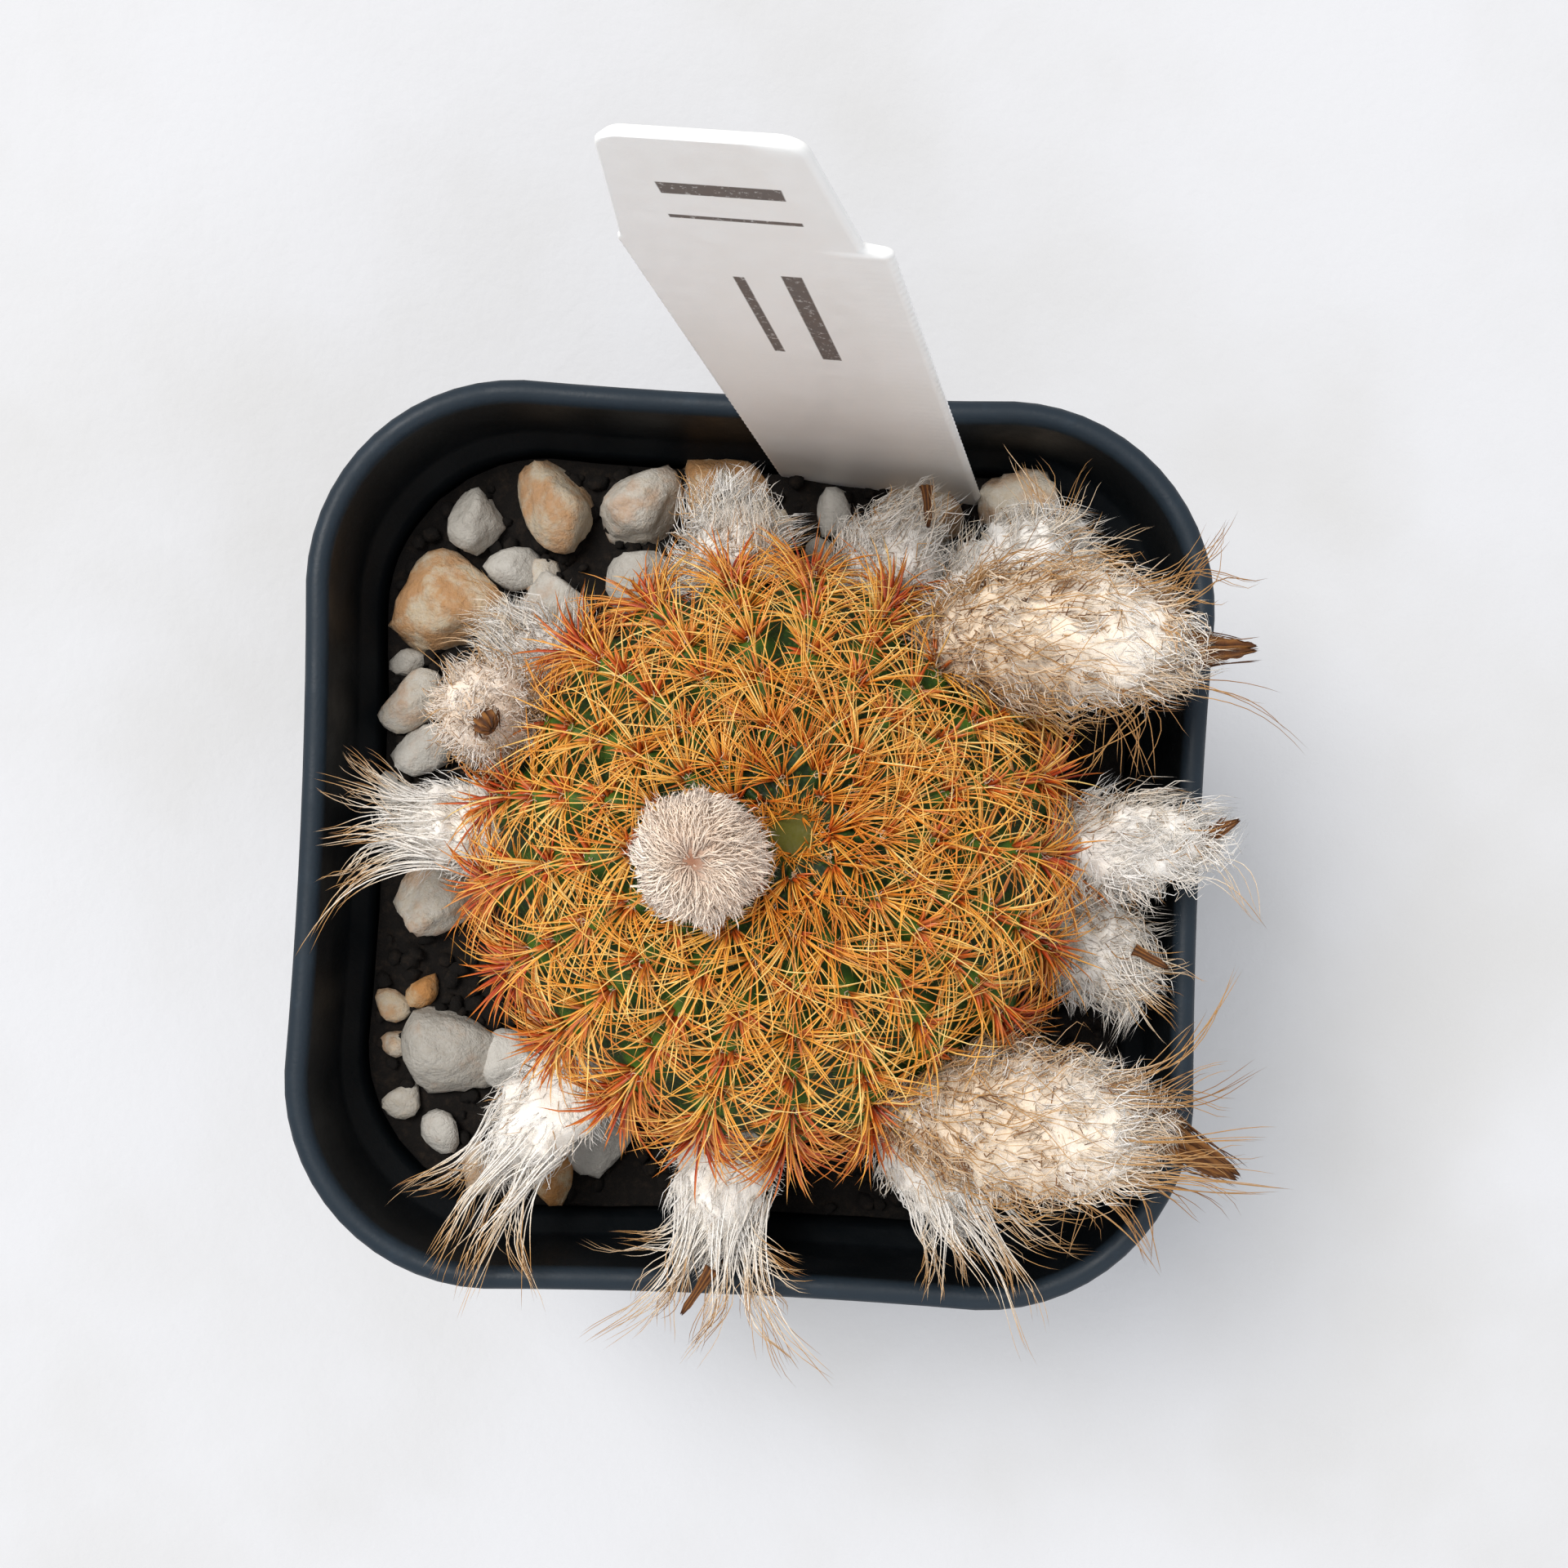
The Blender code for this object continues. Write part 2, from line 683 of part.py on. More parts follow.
def root_hole(cutters):
    bm = bmesh.new()
    top = -BODY_BELOW + ROOT_RADIUS
    length = ROOT_LENGTH + ROOT_RADIUS + 2 * CLEARANCE
    bmesh.ops.create_cone(
        bm, cap_ends=True, segments=ROOT_SIDES, radius1=ROOT_TIP_RADIUS + CLEARANCE,
        radius2=ROOT_RADIUS + 2 * CLEARANCE, depth=length,
        matrix=body_place() @ Matrix.Translation((0, 0, top - length / 2)),
    )
    return make_cutter("taproot_hole", bm, cutters)


def label_place():
    """The label's own frame: x across it, y up its length, z out of its face, with the origin at its tip."""
    up = (LABEL_NOTCH - LABEL_FOOT).normalized()
    across = Vector((math.cos(LABEL_YAW), math.sin(LABEL_YAW), 0))
    across = (across - up * across.dot(up)).normalized()
    face = across.cross(up)
    turn = Matrix((across, up, face)).transposed().to_4x4()
    return Matrix.Translation(LABEL_FOOT - up * LABEL_BURIED) @ turn


def label_outline():
    """Up the right side from the tip, then down the left: a pointed foot, a notch each side, a slim head."""
    half = LABEL_WIDTH / 2
    top_half = LABEL_TOP_WIDTH / 2
    notch = LABEL_BURIED + (LABEL_NOTCH - LABEL_FOOT).length
    below = notch - NOTCH_SLOPE
    top = notch + LABEL_HEAD - LABEL_CORNER
    right = [(LABEL_TIP_HALF, 0.0), (half, LABEL_POINT), (half, below), (half - NOTCH_RIGHT, notch)]
    left = [(-half + NOTCH_LEFT, notch), (-half, below), (-half, LABEL_POINT), (-LABEL_TIP_HALF, 0.0)]
    for step in range(LABEL_CORNER_STEPS + 1):
        angle = step / LABEL_CORNER_STEPS * math.pi / 2
        inward = LABEL_CORNER * (1 - math.cos(angle))
        rise = LABEL_CORNER * math.sin(angle)
        right.append((top_half - inward, top + rise))
        left.insert(0, (-top_half + inward, top + rise))
    return right + left


def make_label(parts):
    """The outline as a flat curve, extruded to LABEL_THICK and stood in its place."""
    drawn = bpy.data.curves.new("plant_label", "CURVE")
    drawn.dimensions = "2D"
    drawn.fill_mode = "BOTH"
    drawn.extrude = LABEL_THICK / 2 * MM
    outline = label_outline()
    spline = drawn.splines.new("POLY")
    spline.points.add(len(outline) - 1)
    for point, (x, y) in zip(spline.points, outline):
        point.co = (x * MM, y * MM, 0.0, 1.0)
    spline.use_cyclic_u = True
    curve = bpy.data.objects.new("label_outline", drawn)
    parts.objects.link(curve)
    place = label_place()
    curve.matrix_world = Matrix.Translation(place.translation * MM) @ place.to_3x3().to_4x4()
    label = mesh_of_curve(curve, "plant_label", parts)
    label.data.materials.clear()
    label.data.materials.append(coat("label_plastic", (0.8, 0.8, 0.79), 0.45))


def mesh_of_curve(curve, name, collection):
    """A curve's evaluated mesh as an object of its own, with its caps welded, in the curve's place."""
    graph = bpy.context.evaluated_depsgraph_get()
    mesh = bpy.data.meshes.new_from_object(curve.evaluated_get(graph))
    bm = bmesh.new()
    bm.from_mesh(mesh)
    bmesh.ops.remove_doubles(bm, verts=bm.verts, dist=WELD_DISTANCE)
    bmesh.ops.recalc_face_normals(bm, faces=bm.faces)
    bm.to_mesh(mesh)
    bm.free()
    obj = bpy.data.objects.new(name, mesh)
    obj.matrix_world = curve.matrix_world
    collection.objects.link(obj)
    bpy.data.objects.remove(curve, do_unlink=True)
    return obj


def label_slot(cutters):
    """A plain slot for the label, from its tip to above the gravel, with clearance all round."""
    bm = bmesh.new()
    length = LABEL_BURIED + LABEL_SLOT_ABOVE
    size = (LABEL_WIDTH + 2 * CLEARANCE, length, LABEL_THICK + 2 * CLEARANCE)
    add_tool_box(bm, size, label_place() @ Matrix.Translation((0, length / 2 - CLEARANCE, 0)))
    return make_cutter("label_slot", bm, cutters)


def make_soil(parts, cutters):
    bottom = FLOOR + CLEARANCE
    levels = (
        (bottom, *inner_wall(bottom, CLEARANCE)),
        (SOIL_TOP, *inner_wall(SOIL_TOP, CLEARANCE)),
    )
    soil = make_object("soil", loft(levels), coat("potting_soil", (0.05, 0.035, 0.025), 0.95), parts)
    for cutter in cutters:
        boolean(soil, "DIFFERENCE", cutter)
    shade(soil, 30)


def pebble_spots(dice):
    """Places and sizes, the large ones first, thrown at random and kept where they don't crowd another."""
    spots = []
    for tried in range(PEBBLE_TRIES):
        size = between(PEBBLE_MOST, PEBBLE_LEAST, tried / PEBBLE_TRIES)
        half, corner = inner_wall(GRAVEL_BED, CLEARANCE + PEBBLE_AT_WALL * size)
        x = dice.uniform(-half, half)
        y = dice.uniform(-half, half)
        overhang = math.hypot(max(abs(x) - half + corner, 0), max(abs(y) - half + corner, 0))
        if overhang > corner:
            continue
        off_body = math.hypot(x - BODY_CENTRE.x, y - BODY_CENTRE.y)
        if off_body < BODY_AT_GRAVEL + PEBBLE_AT_BODY * size:
            continue
        if any(math.hypot(x - a, y - b) < PEBBLE_CROWDING * (size + c) for a, b, c in spots):
            continue
        spots.append((x, y, size))
    return spots


def make_gravel(parts, cutters, space):
    """A thin bed with pebbles half sunk in it, trimmed to the pot and cut clear of the body and the label."""
    dice = random.Random(11)
    bed = loft((
        (GRAVEL_BOTTOM - BED_MARGIN, *inner_wall(GRAVEL_BED, -BED_MARGIN)),
        (GRAVEL_BED, *inner_wall(GRAVEL_BED, -BED_MARGIN)),
    ))
    gravel = make_object("gravel", bed, coat("pebble_stone", (0.62, 0.58, 0.5), 0.85), parts)
    pebbles = new_collection("pebbles")
    for x, y, size in pebble_spots(dice):
        bm = bmesh.new()
        bmesh.ops.create_icosphere(bm, subdivisions=1, radius=1.0)
        for vert in bm.verts:
            vert.co *= 1.0 + dice.uniform(-PEBBLE_ROUGHNESS, PEBBLE_ROUGHNESS)
        turn = Matrix.Rotation(dice.uniform(0, 2 * math.pi), 4, "Z")
        tilt = Matrix.Rotation(dice.uniform(-PEBBLE_TILT, PEBBLE_TILT), 4, "X")
        stretch = Matrix.Diagonal((size, size * dice.uniform(0.75, 1.0), size * PEBBLE_FLATNESS, 1.0))
        place = Matrix.Translation((x, y, GRAVEL_BED)) @ turn @ tilt @ stretch
        bmesh.ops.transform(bm, matrix=place, verts=bm.verts)
        make_object("pebble", bm, None, pebbles)
    fuse(gravel, pebbles)
    boolean(gravel, "INTERSECT", space)
    for cutter in cutters:
        boolean(gravel, "DIFFERENCE", cutter)
    apply_modifiers(gravel)
    drop_scraps(gravel)
    shade(gravel, 30)


def gravel_space(cutters):
    """The room inside the pot above the soil, clear of its wall and its step."""
    levels = (
        (GRAVEL_BOTTOM, *inner_wall(GRAVEL_BOTTOM, CLEARANCE)),
        (COLLAR_BOTTOM + GRAVEL_RISE, *inner_wall(COLLAR_BOTTOM, CLEARANCE)),
        (COLLAR_BOTTOM + INNER_RISE + GRAVEL_RISE, *inner_collar(CLEARANCE)),
        (GRAVEL_ROOM, *inner_collar(CLEARANCE)),
    )
    return make_cutter("gravel_space", loft(levels), cutters)


def core_bmesh(head):
    """The head's core: a sphere carried along the path, CORE_SHARE of the wool's width."""
    points = head_path(head)
    bm = bmesh.new()
    bmesh.ops.create_uvsphere(bm, u_segments=CORE_SIDES, v_segments=CORE_RINGS, radius=1.0)
    for vert in bm.verts:
        share = (vert.co.z + 1) / 2
        side, up, _ = head_frame(points, share)
        across = math.hypot(vert.co.x, vert.co.y)
        reach = CORE_SHARE * head_radius(head, share) / across if across > 1e-6 else 0.0
        vert.co = bezier(points, share) + (side * vert.co.x + up * vert.co.y) * reach
        vert.co.z = max(vert.co.z, LOWEST_WOOL)
    bmesh.ops.recalc_face_normals(bm, faces=bm.faces)
    return bm


def out_of_room(point):
    """Whether a point is down among the pebbles, or in the pot's collar."""
    over_wall = max(abs(point.x), abs(point.y)) > inner_collar(CLEARANCE)[0]
    return point.z < LOWEST_WOOL or (over_wall and point.z < POT_HEIGHT + CLEARANCE)


def add_locks(head, locks, dice):
    """Short tapered locks set round the core by the golden angle, leaning towards its outer end."""
    points = head_path(head)
    for number in range(head["locks"]):
        share = between(LOCK_FIRST, LOCK_LAST, (number + 0.5) / head["locks"])
        angle = number * GOLDEN_ANGLE
        side, up, along = head_frame(points, share)
        outward = side * math.cos(angle) + up * math.sin(angle)
        root = bezier(points, share) + outward * CORE_SHARE * head_radius(head, share)
        lean = LOCK_LEAN * (1 + share) * (1 + dice.uniform(-LOCK_LEAN_VARIES, LOCK_LEAN_VARIES))
        direction = (outward + along * lean).normalized()
        length = LOCK_LENGTH * (1 + dice.uniform(-LOCK_LENGTH_VARIES, LOCK_LENGTH_VARIES))
        if out_of_room(root + direction * length):
            continue
        bm = bmesh.new()
        middle = root + direction * (length - LOCK_SUNK) / 2
        bmesh.ops.create_cone(
            bm, cap_ends=True, segments=3, radius1=LOCK_RADIUS, radius2=0.0, depth=length + LOCK_SUNK,
            matrix=Matrix.Translation(middle) @ turn_to(direction),
        )
        make_object("lock", bm, None, locks)


def add_strands(head, strands):
    for tip in head["strands"]:
        drawn = bpy.data.curves.new("strand", "CURVE")
        drawn.dimensions = "3D"
        drawn.bevel_depth = STRAND_RADIUS * MM
        drawn.bevel_resolution = 0
        drawn.use_fill_caps = True
        spline = drawn.splines.new("POLY")
        spline.points.add(STRAND_POINTS - 1)
        for step, (point, here) in enumerate(zip(spline.points, strand_points(head, tip))):
            point.co = (*(here * MM), 1.0)
            point.radius = between(1.0, STRAND_TIP_SHARE, step / (STRAND_POINTS - 1))
        curve = bpy.data.objects.new("strand_route", drawn)
        strands.objects.link(curve)
        mesh_of_curve(curve, "strand", strands)


def make_head(name, head, material, parts, seats):
    """A head's core, locks and strands in one solid, cut to sit on the body and round its dried flower."""
    dice = random.Random(name)
    wool = make_object(name, core_bmesh(head), material, parts)
    repeats = new_collection(name + "_wool")
    add_locks(head, repeats, dice)
    add_strands(head, repeats)
    fuse(wool, repeats)
    for seat in seats:
        boolean(wool, "DIFFERENCE", seat)
    apply_modifiers(wool)
    drop_scraps(wool)
    shade(wool, 40)


def flower_seat(name, flower, cutters):
    """A plain round hole, CLEARANCE wider than the dried flower, from its foot outwards."""
    start, end = (Vector(point) for point in flower["ends"])
    along = (end - start).normalized()
    start -= along * CLEARANCE
    end += along * SEAT_MOUTH
    bm = bmesh.new()
    bmesh.ops.create_cone(
        bm, cap_ends=True, segments=2 * PLEATS, radius1=flower["radii"][0] + SEAT_ROOM * CLEARANCE,
        radius2=flower["radii"][1] + CLEARANCE, depth=(end - start).length,
        matrix=Matrix.Translation((start + end) / 2) @ turn_to(along),
    )
    return make_cutter(name + "_seat", bm, cutters)


def make_flower(name, flower, material, parts):
    """A dry pleated cone: every other corner is drawn in by PLEAT_DEPTH of the radius."""
    start, end = (Vector(point) for point in flower["ends"])
    radii = flower["radii"]
    bm = bmesh.new()
    bmesh.ops.create_cone(
        bm, cap_ends=True, segments=2 * PLEATS, radius1=radii[0], radius2=radii[1],
        depth=(end - start).length,
    )
    for vert in bm.verts:
        corner = round(math.atan2(vert.co.y, vert.co.x) / math.pi * PLEATS)
        if corner % 2:
            vert.co.x *= 1 - PLEAT_DEPTH
            vert.co.y *= 1 - PLEAT_DEPTH
    place = Matrix.Translation((start + end) / 2) @ turn_to(end - start)
    bmesh.ops.transform(bm, matrix=place, verts=bm.verts)
    make_object(name, bm, material, parts)


def main():
    clear_scene()
    parts = new_collection("potted_frailea_cactus")
    cutters = new_collection("cutters")
    make_pot(parts, cutters)
    slot = label_slot(cutters)
    clear_body = make_cutter("body_clearance", globe_bmesh(RIB_HEIGHT + CLEARANCE), cutters)
    make_soil(parts, (clear_body, root_hole(cutters), slot))
    make_gravel(parts, (clear_body, slot), gravel_space(cutters))
    make_body(parts)
    make_root(parts)
    make_label(parts)
    seat = make_cutter("wool_seat", globe_bmesh(SEAT_LIFT), cutters)
    wool = coat("dry_wool", (0.78, 0.7, 0.58), 0.95)
    seats = {name: [seat] for name in HEADS}
    dry = coat("dry_flower", (0.3, 0.18, 0.08), 0.85)
    for name, flower in FLOWERS.items():
        seats[flower["head"]].append(flower_seat(name, flower, cutters))
        make_flower(name, flower, dry, parts)
    for name, head in HEADS.items():
        make_head(name, head, wool, parts, seats[name])


main()
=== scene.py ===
import math

import bpy
import numpy as np
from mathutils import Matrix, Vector


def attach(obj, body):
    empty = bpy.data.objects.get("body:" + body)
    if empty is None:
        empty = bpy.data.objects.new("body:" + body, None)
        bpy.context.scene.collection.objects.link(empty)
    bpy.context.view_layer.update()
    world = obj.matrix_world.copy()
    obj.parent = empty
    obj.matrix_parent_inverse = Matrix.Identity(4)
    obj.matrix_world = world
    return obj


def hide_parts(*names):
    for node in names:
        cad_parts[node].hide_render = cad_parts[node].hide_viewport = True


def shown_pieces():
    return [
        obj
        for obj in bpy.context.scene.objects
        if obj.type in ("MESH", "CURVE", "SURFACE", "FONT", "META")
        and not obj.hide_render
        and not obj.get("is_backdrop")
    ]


# A golden-spined cactus with woolly fruits in a square nursery pot, looked at from straight above.
# Shapes are worked out in millimetres, with the origin at the middle of the pot's base.

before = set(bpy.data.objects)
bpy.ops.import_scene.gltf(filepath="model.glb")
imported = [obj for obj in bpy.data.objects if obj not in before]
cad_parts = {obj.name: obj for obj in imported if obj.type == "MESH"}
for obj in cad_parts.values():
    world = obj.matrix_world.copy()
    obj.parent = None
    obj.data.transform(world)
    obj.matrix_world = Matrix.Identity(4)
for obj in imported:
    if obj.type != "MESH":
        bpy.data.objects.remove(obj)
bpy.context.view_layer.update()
mm = 0.001
fullTurn = 2 * math.pi
print("frame loaded,", len(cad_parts), "nodes")


# Arithmetic on whole arrays of points

def unit(vectors):
    # Each vector over its own length.
    return vectors / np.maximum(np.linalg.norm(vectors, axis=-1, keepdims=True), 1e-9)


def between(low, high, share):
    # Low, plus that share of the way to high.
    return low + (high - low) * share


def fade(value, start, end):
    # 0 up to start, 1 from end, and 3t² - 2t³ in between.
    t = np.clip((value - start) / (end - start), 0, 1)
    return t * t * (3 - 2 * t)


def ripple(points, size, seed, waves=7):
    # The mean of sine waves in random directions, each about size long, doubled to reach about -1 and 1.
    dice = np.random.default_rng(seed)
    ways = unit(dice.normal(size=(waves, 3))) * dice.uniform(0.6, 1.6, (waves, 1))
    phases = dice.uniform(0, fullTurn, waves)
    return np.sin(points @ (ways.T * fullTurn / size) + phases).mean(axis=-1) * 2


def bezier(start, middle, end, t):
    # start (1 - t)² + 2 middle t (1 - t) + end t².
    return start * (1 - t) ** 2 + middle * 2 * t * (1 - t) + end * t ** 2


def joinForms(rings, starts, ends):
    # Rings of corners, as (form, ring, corner, xyz), with a point that closes each end of each form.
    # The corners turn by the right hand about the way from start to end, so every face points out.
    forms, count, corners = rings.shape[:3]
    points = np.concatenate([rings.reshape(forms, -1, 3), starts[:, None], ends[:, None]], axis=1)
    ring = np.arange(count * corners).reshape(count, corners)
    after = np.roll(ring, -1, axis=1)
    quads = np.stack([ring[:-1], after[:-1], after[1:], ring[1:]], axis=-1).reshape(-1, 4)
    pole = np.full(corners, count * corners)
    fans = np.concatenate([
        np.stack([pole, after[0], ring[0]], axis=-1),
        np.stack([ring[-1], after[-1], pole + 1], axis=-1),
    ])
    firsts = (np.arange(forms) * (count * corners + 2))[:, None, None]
    return points.reshape(-1, 3), [(quads + firsts).reshape(-1, 4), (fans + firsts).reshape(-1, 3)]


def formValues(values, corners):
    # One value for the start, each ring and the end of every form, spread over its points.
    rings = np.repeat(values[:, 1:-1], corners, axis=1)
    return np.concatenate([rings, values[:, :1], values[:, -1:]], axis=1).ravel()


def tubes(routes, radii, values, corners=3):
    # Rings about each route: point + radius (cos a across + sin a up), and the last point is the tip.
    # Across starts square to the route and is carried along it with no twist.
    ahead = unit(np.gradient(routes, axis=1))
    flat = np.abs(ahead[:, 0, 2:]) < 0.9
    across = np.empty_like(routes)
    across[:, 0] = unit(np.cross(ahead[:, 0], np.where(flat, (0.0, 0.0, 1.0), (1.0, 0.0, 0.0))))
    for step in range(1, routes.shape[1]):
        kept = across[:, step - 1]
        across[:, step] = unit(kept - ahead[:, step] * (kept * ahead[:, step]).sum(-1, keepdims=True))
    up = np.cross(ahead, across)
    angle = (np.arange(corners) / corners * fullTurn)[:, None]
    around = across[:, :, None] * np.cos(angle) + up[:, :, None] * np.sin(angle)
    rings = routes[:, :, None] + around * radii[:, :, None, None]
    points, faces = joinForms(rings[:, :-1], routes[:, 0], routes[:, -1])
    spread = {}
    for key, value in values.items():
        whole = np.broadcast_to(value, routes.shape[:2])
        spread[key] = formValues(np.concatenate([whole[:, :1], whole], axis=1), corners)
    return points, faces, spread


def makePiece(name, parts, material, nodes=()):
    # Parts are (points, face sets, values for each point), and become one mesh in metres.
    firsts = np.cumsum([0] + [len(part[0]) for part in parts])
    points = np.concatenate([part[0] for part in parts]) * mm
    faces = [faceSet + first for part, first in zip(parts, firsts) for faceSet in part[1]]
    sizes = np.concatenate([np.full(len(faceSet), faceSet.shape[1]) for faceSet in faces])
    corners = np.concatenate([faceSet.ravel() for faceSet in faces])
    mesh = bpy.data.meshes.new(name)
    mesh.vertices.add(len(points))
    mesh.vertices.foreach_set("co", points.astype(np.float32).ravel())
    mesh.loops.add(len(corners))
    mesh.loops.foreach_set("vertex_index", corners.astype(np.int32))
    mesh.polygons.add(len(sizes))
    mesh.polygons.foreach_set("loop_start", (np.cumsum(sizes) - sizes).astype(np.int32))
    mesh.update(calc_edges=True)
    mesh.shade_smooth()
    for key in parts[0][2]:
        layer = mesh.attributes.new(key, "FLOAT", "POINT")
        value = np.concatenate([part[2][key] for part in parts])
        layer.data.foreach_set("value", value.astype(np.float32))
    piece = bpy.data.objects.new(name, mesh)
    bpy.context.scene.collection.objects.link(piece)
    if material:
        mesh.materials.append(material)
        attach(piece, "root")
        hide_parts(*nodes)
    return piece


def cutOut(piece, parts):
    # The piece less a closed cutter, as a plain mesh with no modifier left on it.
    cutter = makePiece("cutter", parts, None)
    modifier = piece.modifiers.new("cut", "BOOLEAN")
    modifier.operation = "DIFFERENCE"
    modifier.object = cutter
    graph = bpy.context.evaluated_depsgraph_get()
    piece.data = bpy.data.meshes.new_from_object(piece.evaluated_get(graph))
    piece.modifiers.clear()
    bpy.data.objects.remove(cutter)


# Shader maths

class Wire:
    # One output socket of a node tree: sums on it add Math nodes, and node() adds any other kind.
    def __init__(self, tree, socket=None):
        self.tree = tree
        self.socket = socket

    def node(self, kind, settings=None, inputs=None, output=0):
        made = self.tree.nodes.new(kind)
        for key, value in (settings or {}).items():
            if key == "stops":
                while len(made.color_ramp.elements) < len(value):
                    made.color_ramp.elements.new(0.5)
                for element, (position, color) in zip(made.color_ramp.elements, value):
                    element.position = position
                    element.color = color
            else:
                setattr(made, key, value)
        for key, value in (inputs or {}).items():
            if isinstance(value, Wire):
                self.tree.links.new(value.socket, made.inputs[key])
            else:
                made.inputs[key].default_value = value
        return Wire(self.tree, made.outputs[output])

    def maths(self, operation, first, second=0.0):
        return self.node("ShaderNodeMath", {"operation": operation}, {0: first, 1: second})

    def __add__(self, other):
        return self.maths("ADD", self, other)

    def __radd__(self, other):
        return self.maths("ADD", other, self)

    def __sub__(self, other):
        return self.maths("SUBTRACT", self, other)

    def __rsub__(self, other):
        return self.maths("SUBTRACT", other, self)

    def __mul__(self, other):
        return self.maths("MULTIPLY", self, other)

    def __rmul__(self, other):
        return self.maths("MULTIPLY", other, self)

    def __pow__(self, other):
        return self.maths("POWER", self, other)

    def step(self, low, high, start=0.0, end=1.0):
        # Start up to low, end from high, and an eased rise between them.
        settings = {"interpolation_type": "SMOOTHSTEP"}
        return self.node("ShaderNodeMapRange", settings, {0: self, 1: low, 2: high, 3: start, 4: end})

    def value(self, name):
        return self.node("ShaderNodeAttribute", {"attribute_name": name}, output="Fac")

    def place(self):
        return self.node("ShaderNodeTexCoord", output="Object")

    def stretched(self, scale):
        return self.node("ShaderNodeMapping", {}, {"Vector": self.place(), "Scale": scale})

    def noise(self, size, detail=3.0, roughness=0.55, where=None, output="Fac"):
        # Noise whose largest lumps are about size millimetres across.
        inputs = {"Vector": where or self.place(), "Scale": 1 / (size * mm)}
        inputs.update({"Detail": detail, "Roughness": roughness})
        return self.node("ShaderNodeTexNoise", {}, inputs, output)

    def cells(self, size, output="Distance", feature="F1"):
        settings = {"feature": feature}
        inputs = {"Vector": self.place(), "Scale": 1 / (size * mm)}
        return self.node("ShaderNodeTexVoronoi", settings, inputs, output)

    def ramp(self, *stops):
        return self.node("ShaderNodeValToRGB", {"stops": stops}, {0: self})

    def blend(self, first, second, kind="MIX"):
        # The first colour where this is 0, the second where it is 1.
        settings = {"data_type": "RGBA", "blend_type": kind}
        return self.node("ShaderNodeMix", settings, {0: self, 6: first, 7: second}, 2)

    def bump(self, depth, strength=1.0):
        # Relief of depth millimetres from a height of 0 to 1.
        inputs = {"Height": self, "Distance": depth * mm, "Strength": strength}
        return self.node("ShaderNodeBump", {}, inputs)


def paint(red, green, blue):
    # A screen colour of 0 to 255 as linear light: ((c + 0.055) / 1.055) to the power 2.4.
    screen = np.array([red, green, blue]) / 255
    linear = np.where(screen > 0.04045, ((screen + 0.055) / 1.055) ** 2.4, screen / 12.92)
    return (*linear.tolist(), 1.0)


def makeMaterial(name, **fixed):
    # A material with its fixed numbers on the shader's own sockets, and the wire to build the rest with.
    material = bpy.data.materials.new(name)
    material.use_nodes = True
    shader = material.node_tree.nodes["Principled BSDF"]
    for key, value in fixed.items():
        shader.inputs[key.replace("_", " ")].default_value = value
    return material, shader, Wire(material.node_tree)


def connect(shader, **wires):
    for key, wire in wires.items():
        wire.tree.links.new(wire.socket, shader.inputs[key.replace("_", " ")])


# Camera, floor and light

view = dict(place=(2.09, 4.12, 194.3), turn=2.5, lens=48.75, sensor=36.0, nearest=0.01)
camera = bpy.data.objects.new("camera", bpy.data.cameras.new("camera"))
camera.location = Vector(view["place"]) * mm
camera.rotation_euler = (0, 0, math.radians(view["turn"]))
camera.data.lens = view["lens"]
camera.data.sensor_width = view["sensor"]
camera.data.clip_start = view["nearest"]
bpy.context.scene.collection.objects.link(camera)
bpy.context.scene.camera = camera

light = dict(
    sky=(0.95, 0.965, 1.0), skyStrength=0.78,
    window=dict(place=(-480, 380, 1300), size=560, power=15.8, color=(1.0, 0.97, 0.93)),
    fill=dict(place=(160, -420, 420), size=420, power=0.5, color=(0.95, 0.97, 1.0)),
)


def addLamp(name, lamp):
    # A square area lamp that faces the middle of the plant.
    data = bpy.data.lights.new(name, "AREA")
    data.energy = lamp["power"]
    data.size = lamp["size"] * mm
    data.color = lamp["color"]
    lampObject = bpy.data.objects.new(name, data)
    lampObject.location = Vector(lamp["place"]) * mm
    aim = Vector((0, 0, 50)) - Vector(lamp["place"])
    lampObject.rotation_euler = aim.to_track_quat("-Z", "Y").to_euler()
    bpy.context.scene.collection.objects.link(lampObject)


addLamp("window", light["window"])
addLamp("fill", light["fill"])
world = bpy.data.worlds.new("sky")
world.use_nodes = True
background = world.node_tree.nodes["Background"]
background.inputs["Color"].default_value = (*light["sky"], 1.0)
background.inputs["Strength"].default_value = light["skyStrength"]
bpy.context.scene.world = world
bpy.context.scene.view_settings.view_transform = "Standard"
bpy.context.scene.cycles.use_denoising = True

floor = dict(half=4000.0, pale=paint(206, 207, 210), warm=paint(197, 197, 197))


def makeFloor():
    # One flat square at the height of the pot's base.
    corners = np.array([(-1, -1, 0), (1, -1, 0), (1, 1, 0), (-1, 1, 0)]) * floor["half"]
    material, shader, wire = makeMaterial("floorPaper", Roughness=0.9)
    mottle = wire.noise(45, detail=4).step(0.35, 0.75)
    connect(shader, Base_Color=mottle.blend(floor["pale"], floor["warm"]))
    connect(shader, Normal=wire.noise(1.2, detail=5).bump(0.08))
    mesh = bpy.data.meshes.new("floor")
    mesh.from_pydata((corners * mm).tolist(), [], [(0, 1, 2, 3)])
    mesh.materials.append(material)
    obj = bpy.data.objects.new("floor", mesh)
    bpy.context.scene.collection.objects.link(obj)
    obj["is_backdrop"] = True


makeFloor()
print("camera, floor and light set")


# Pot

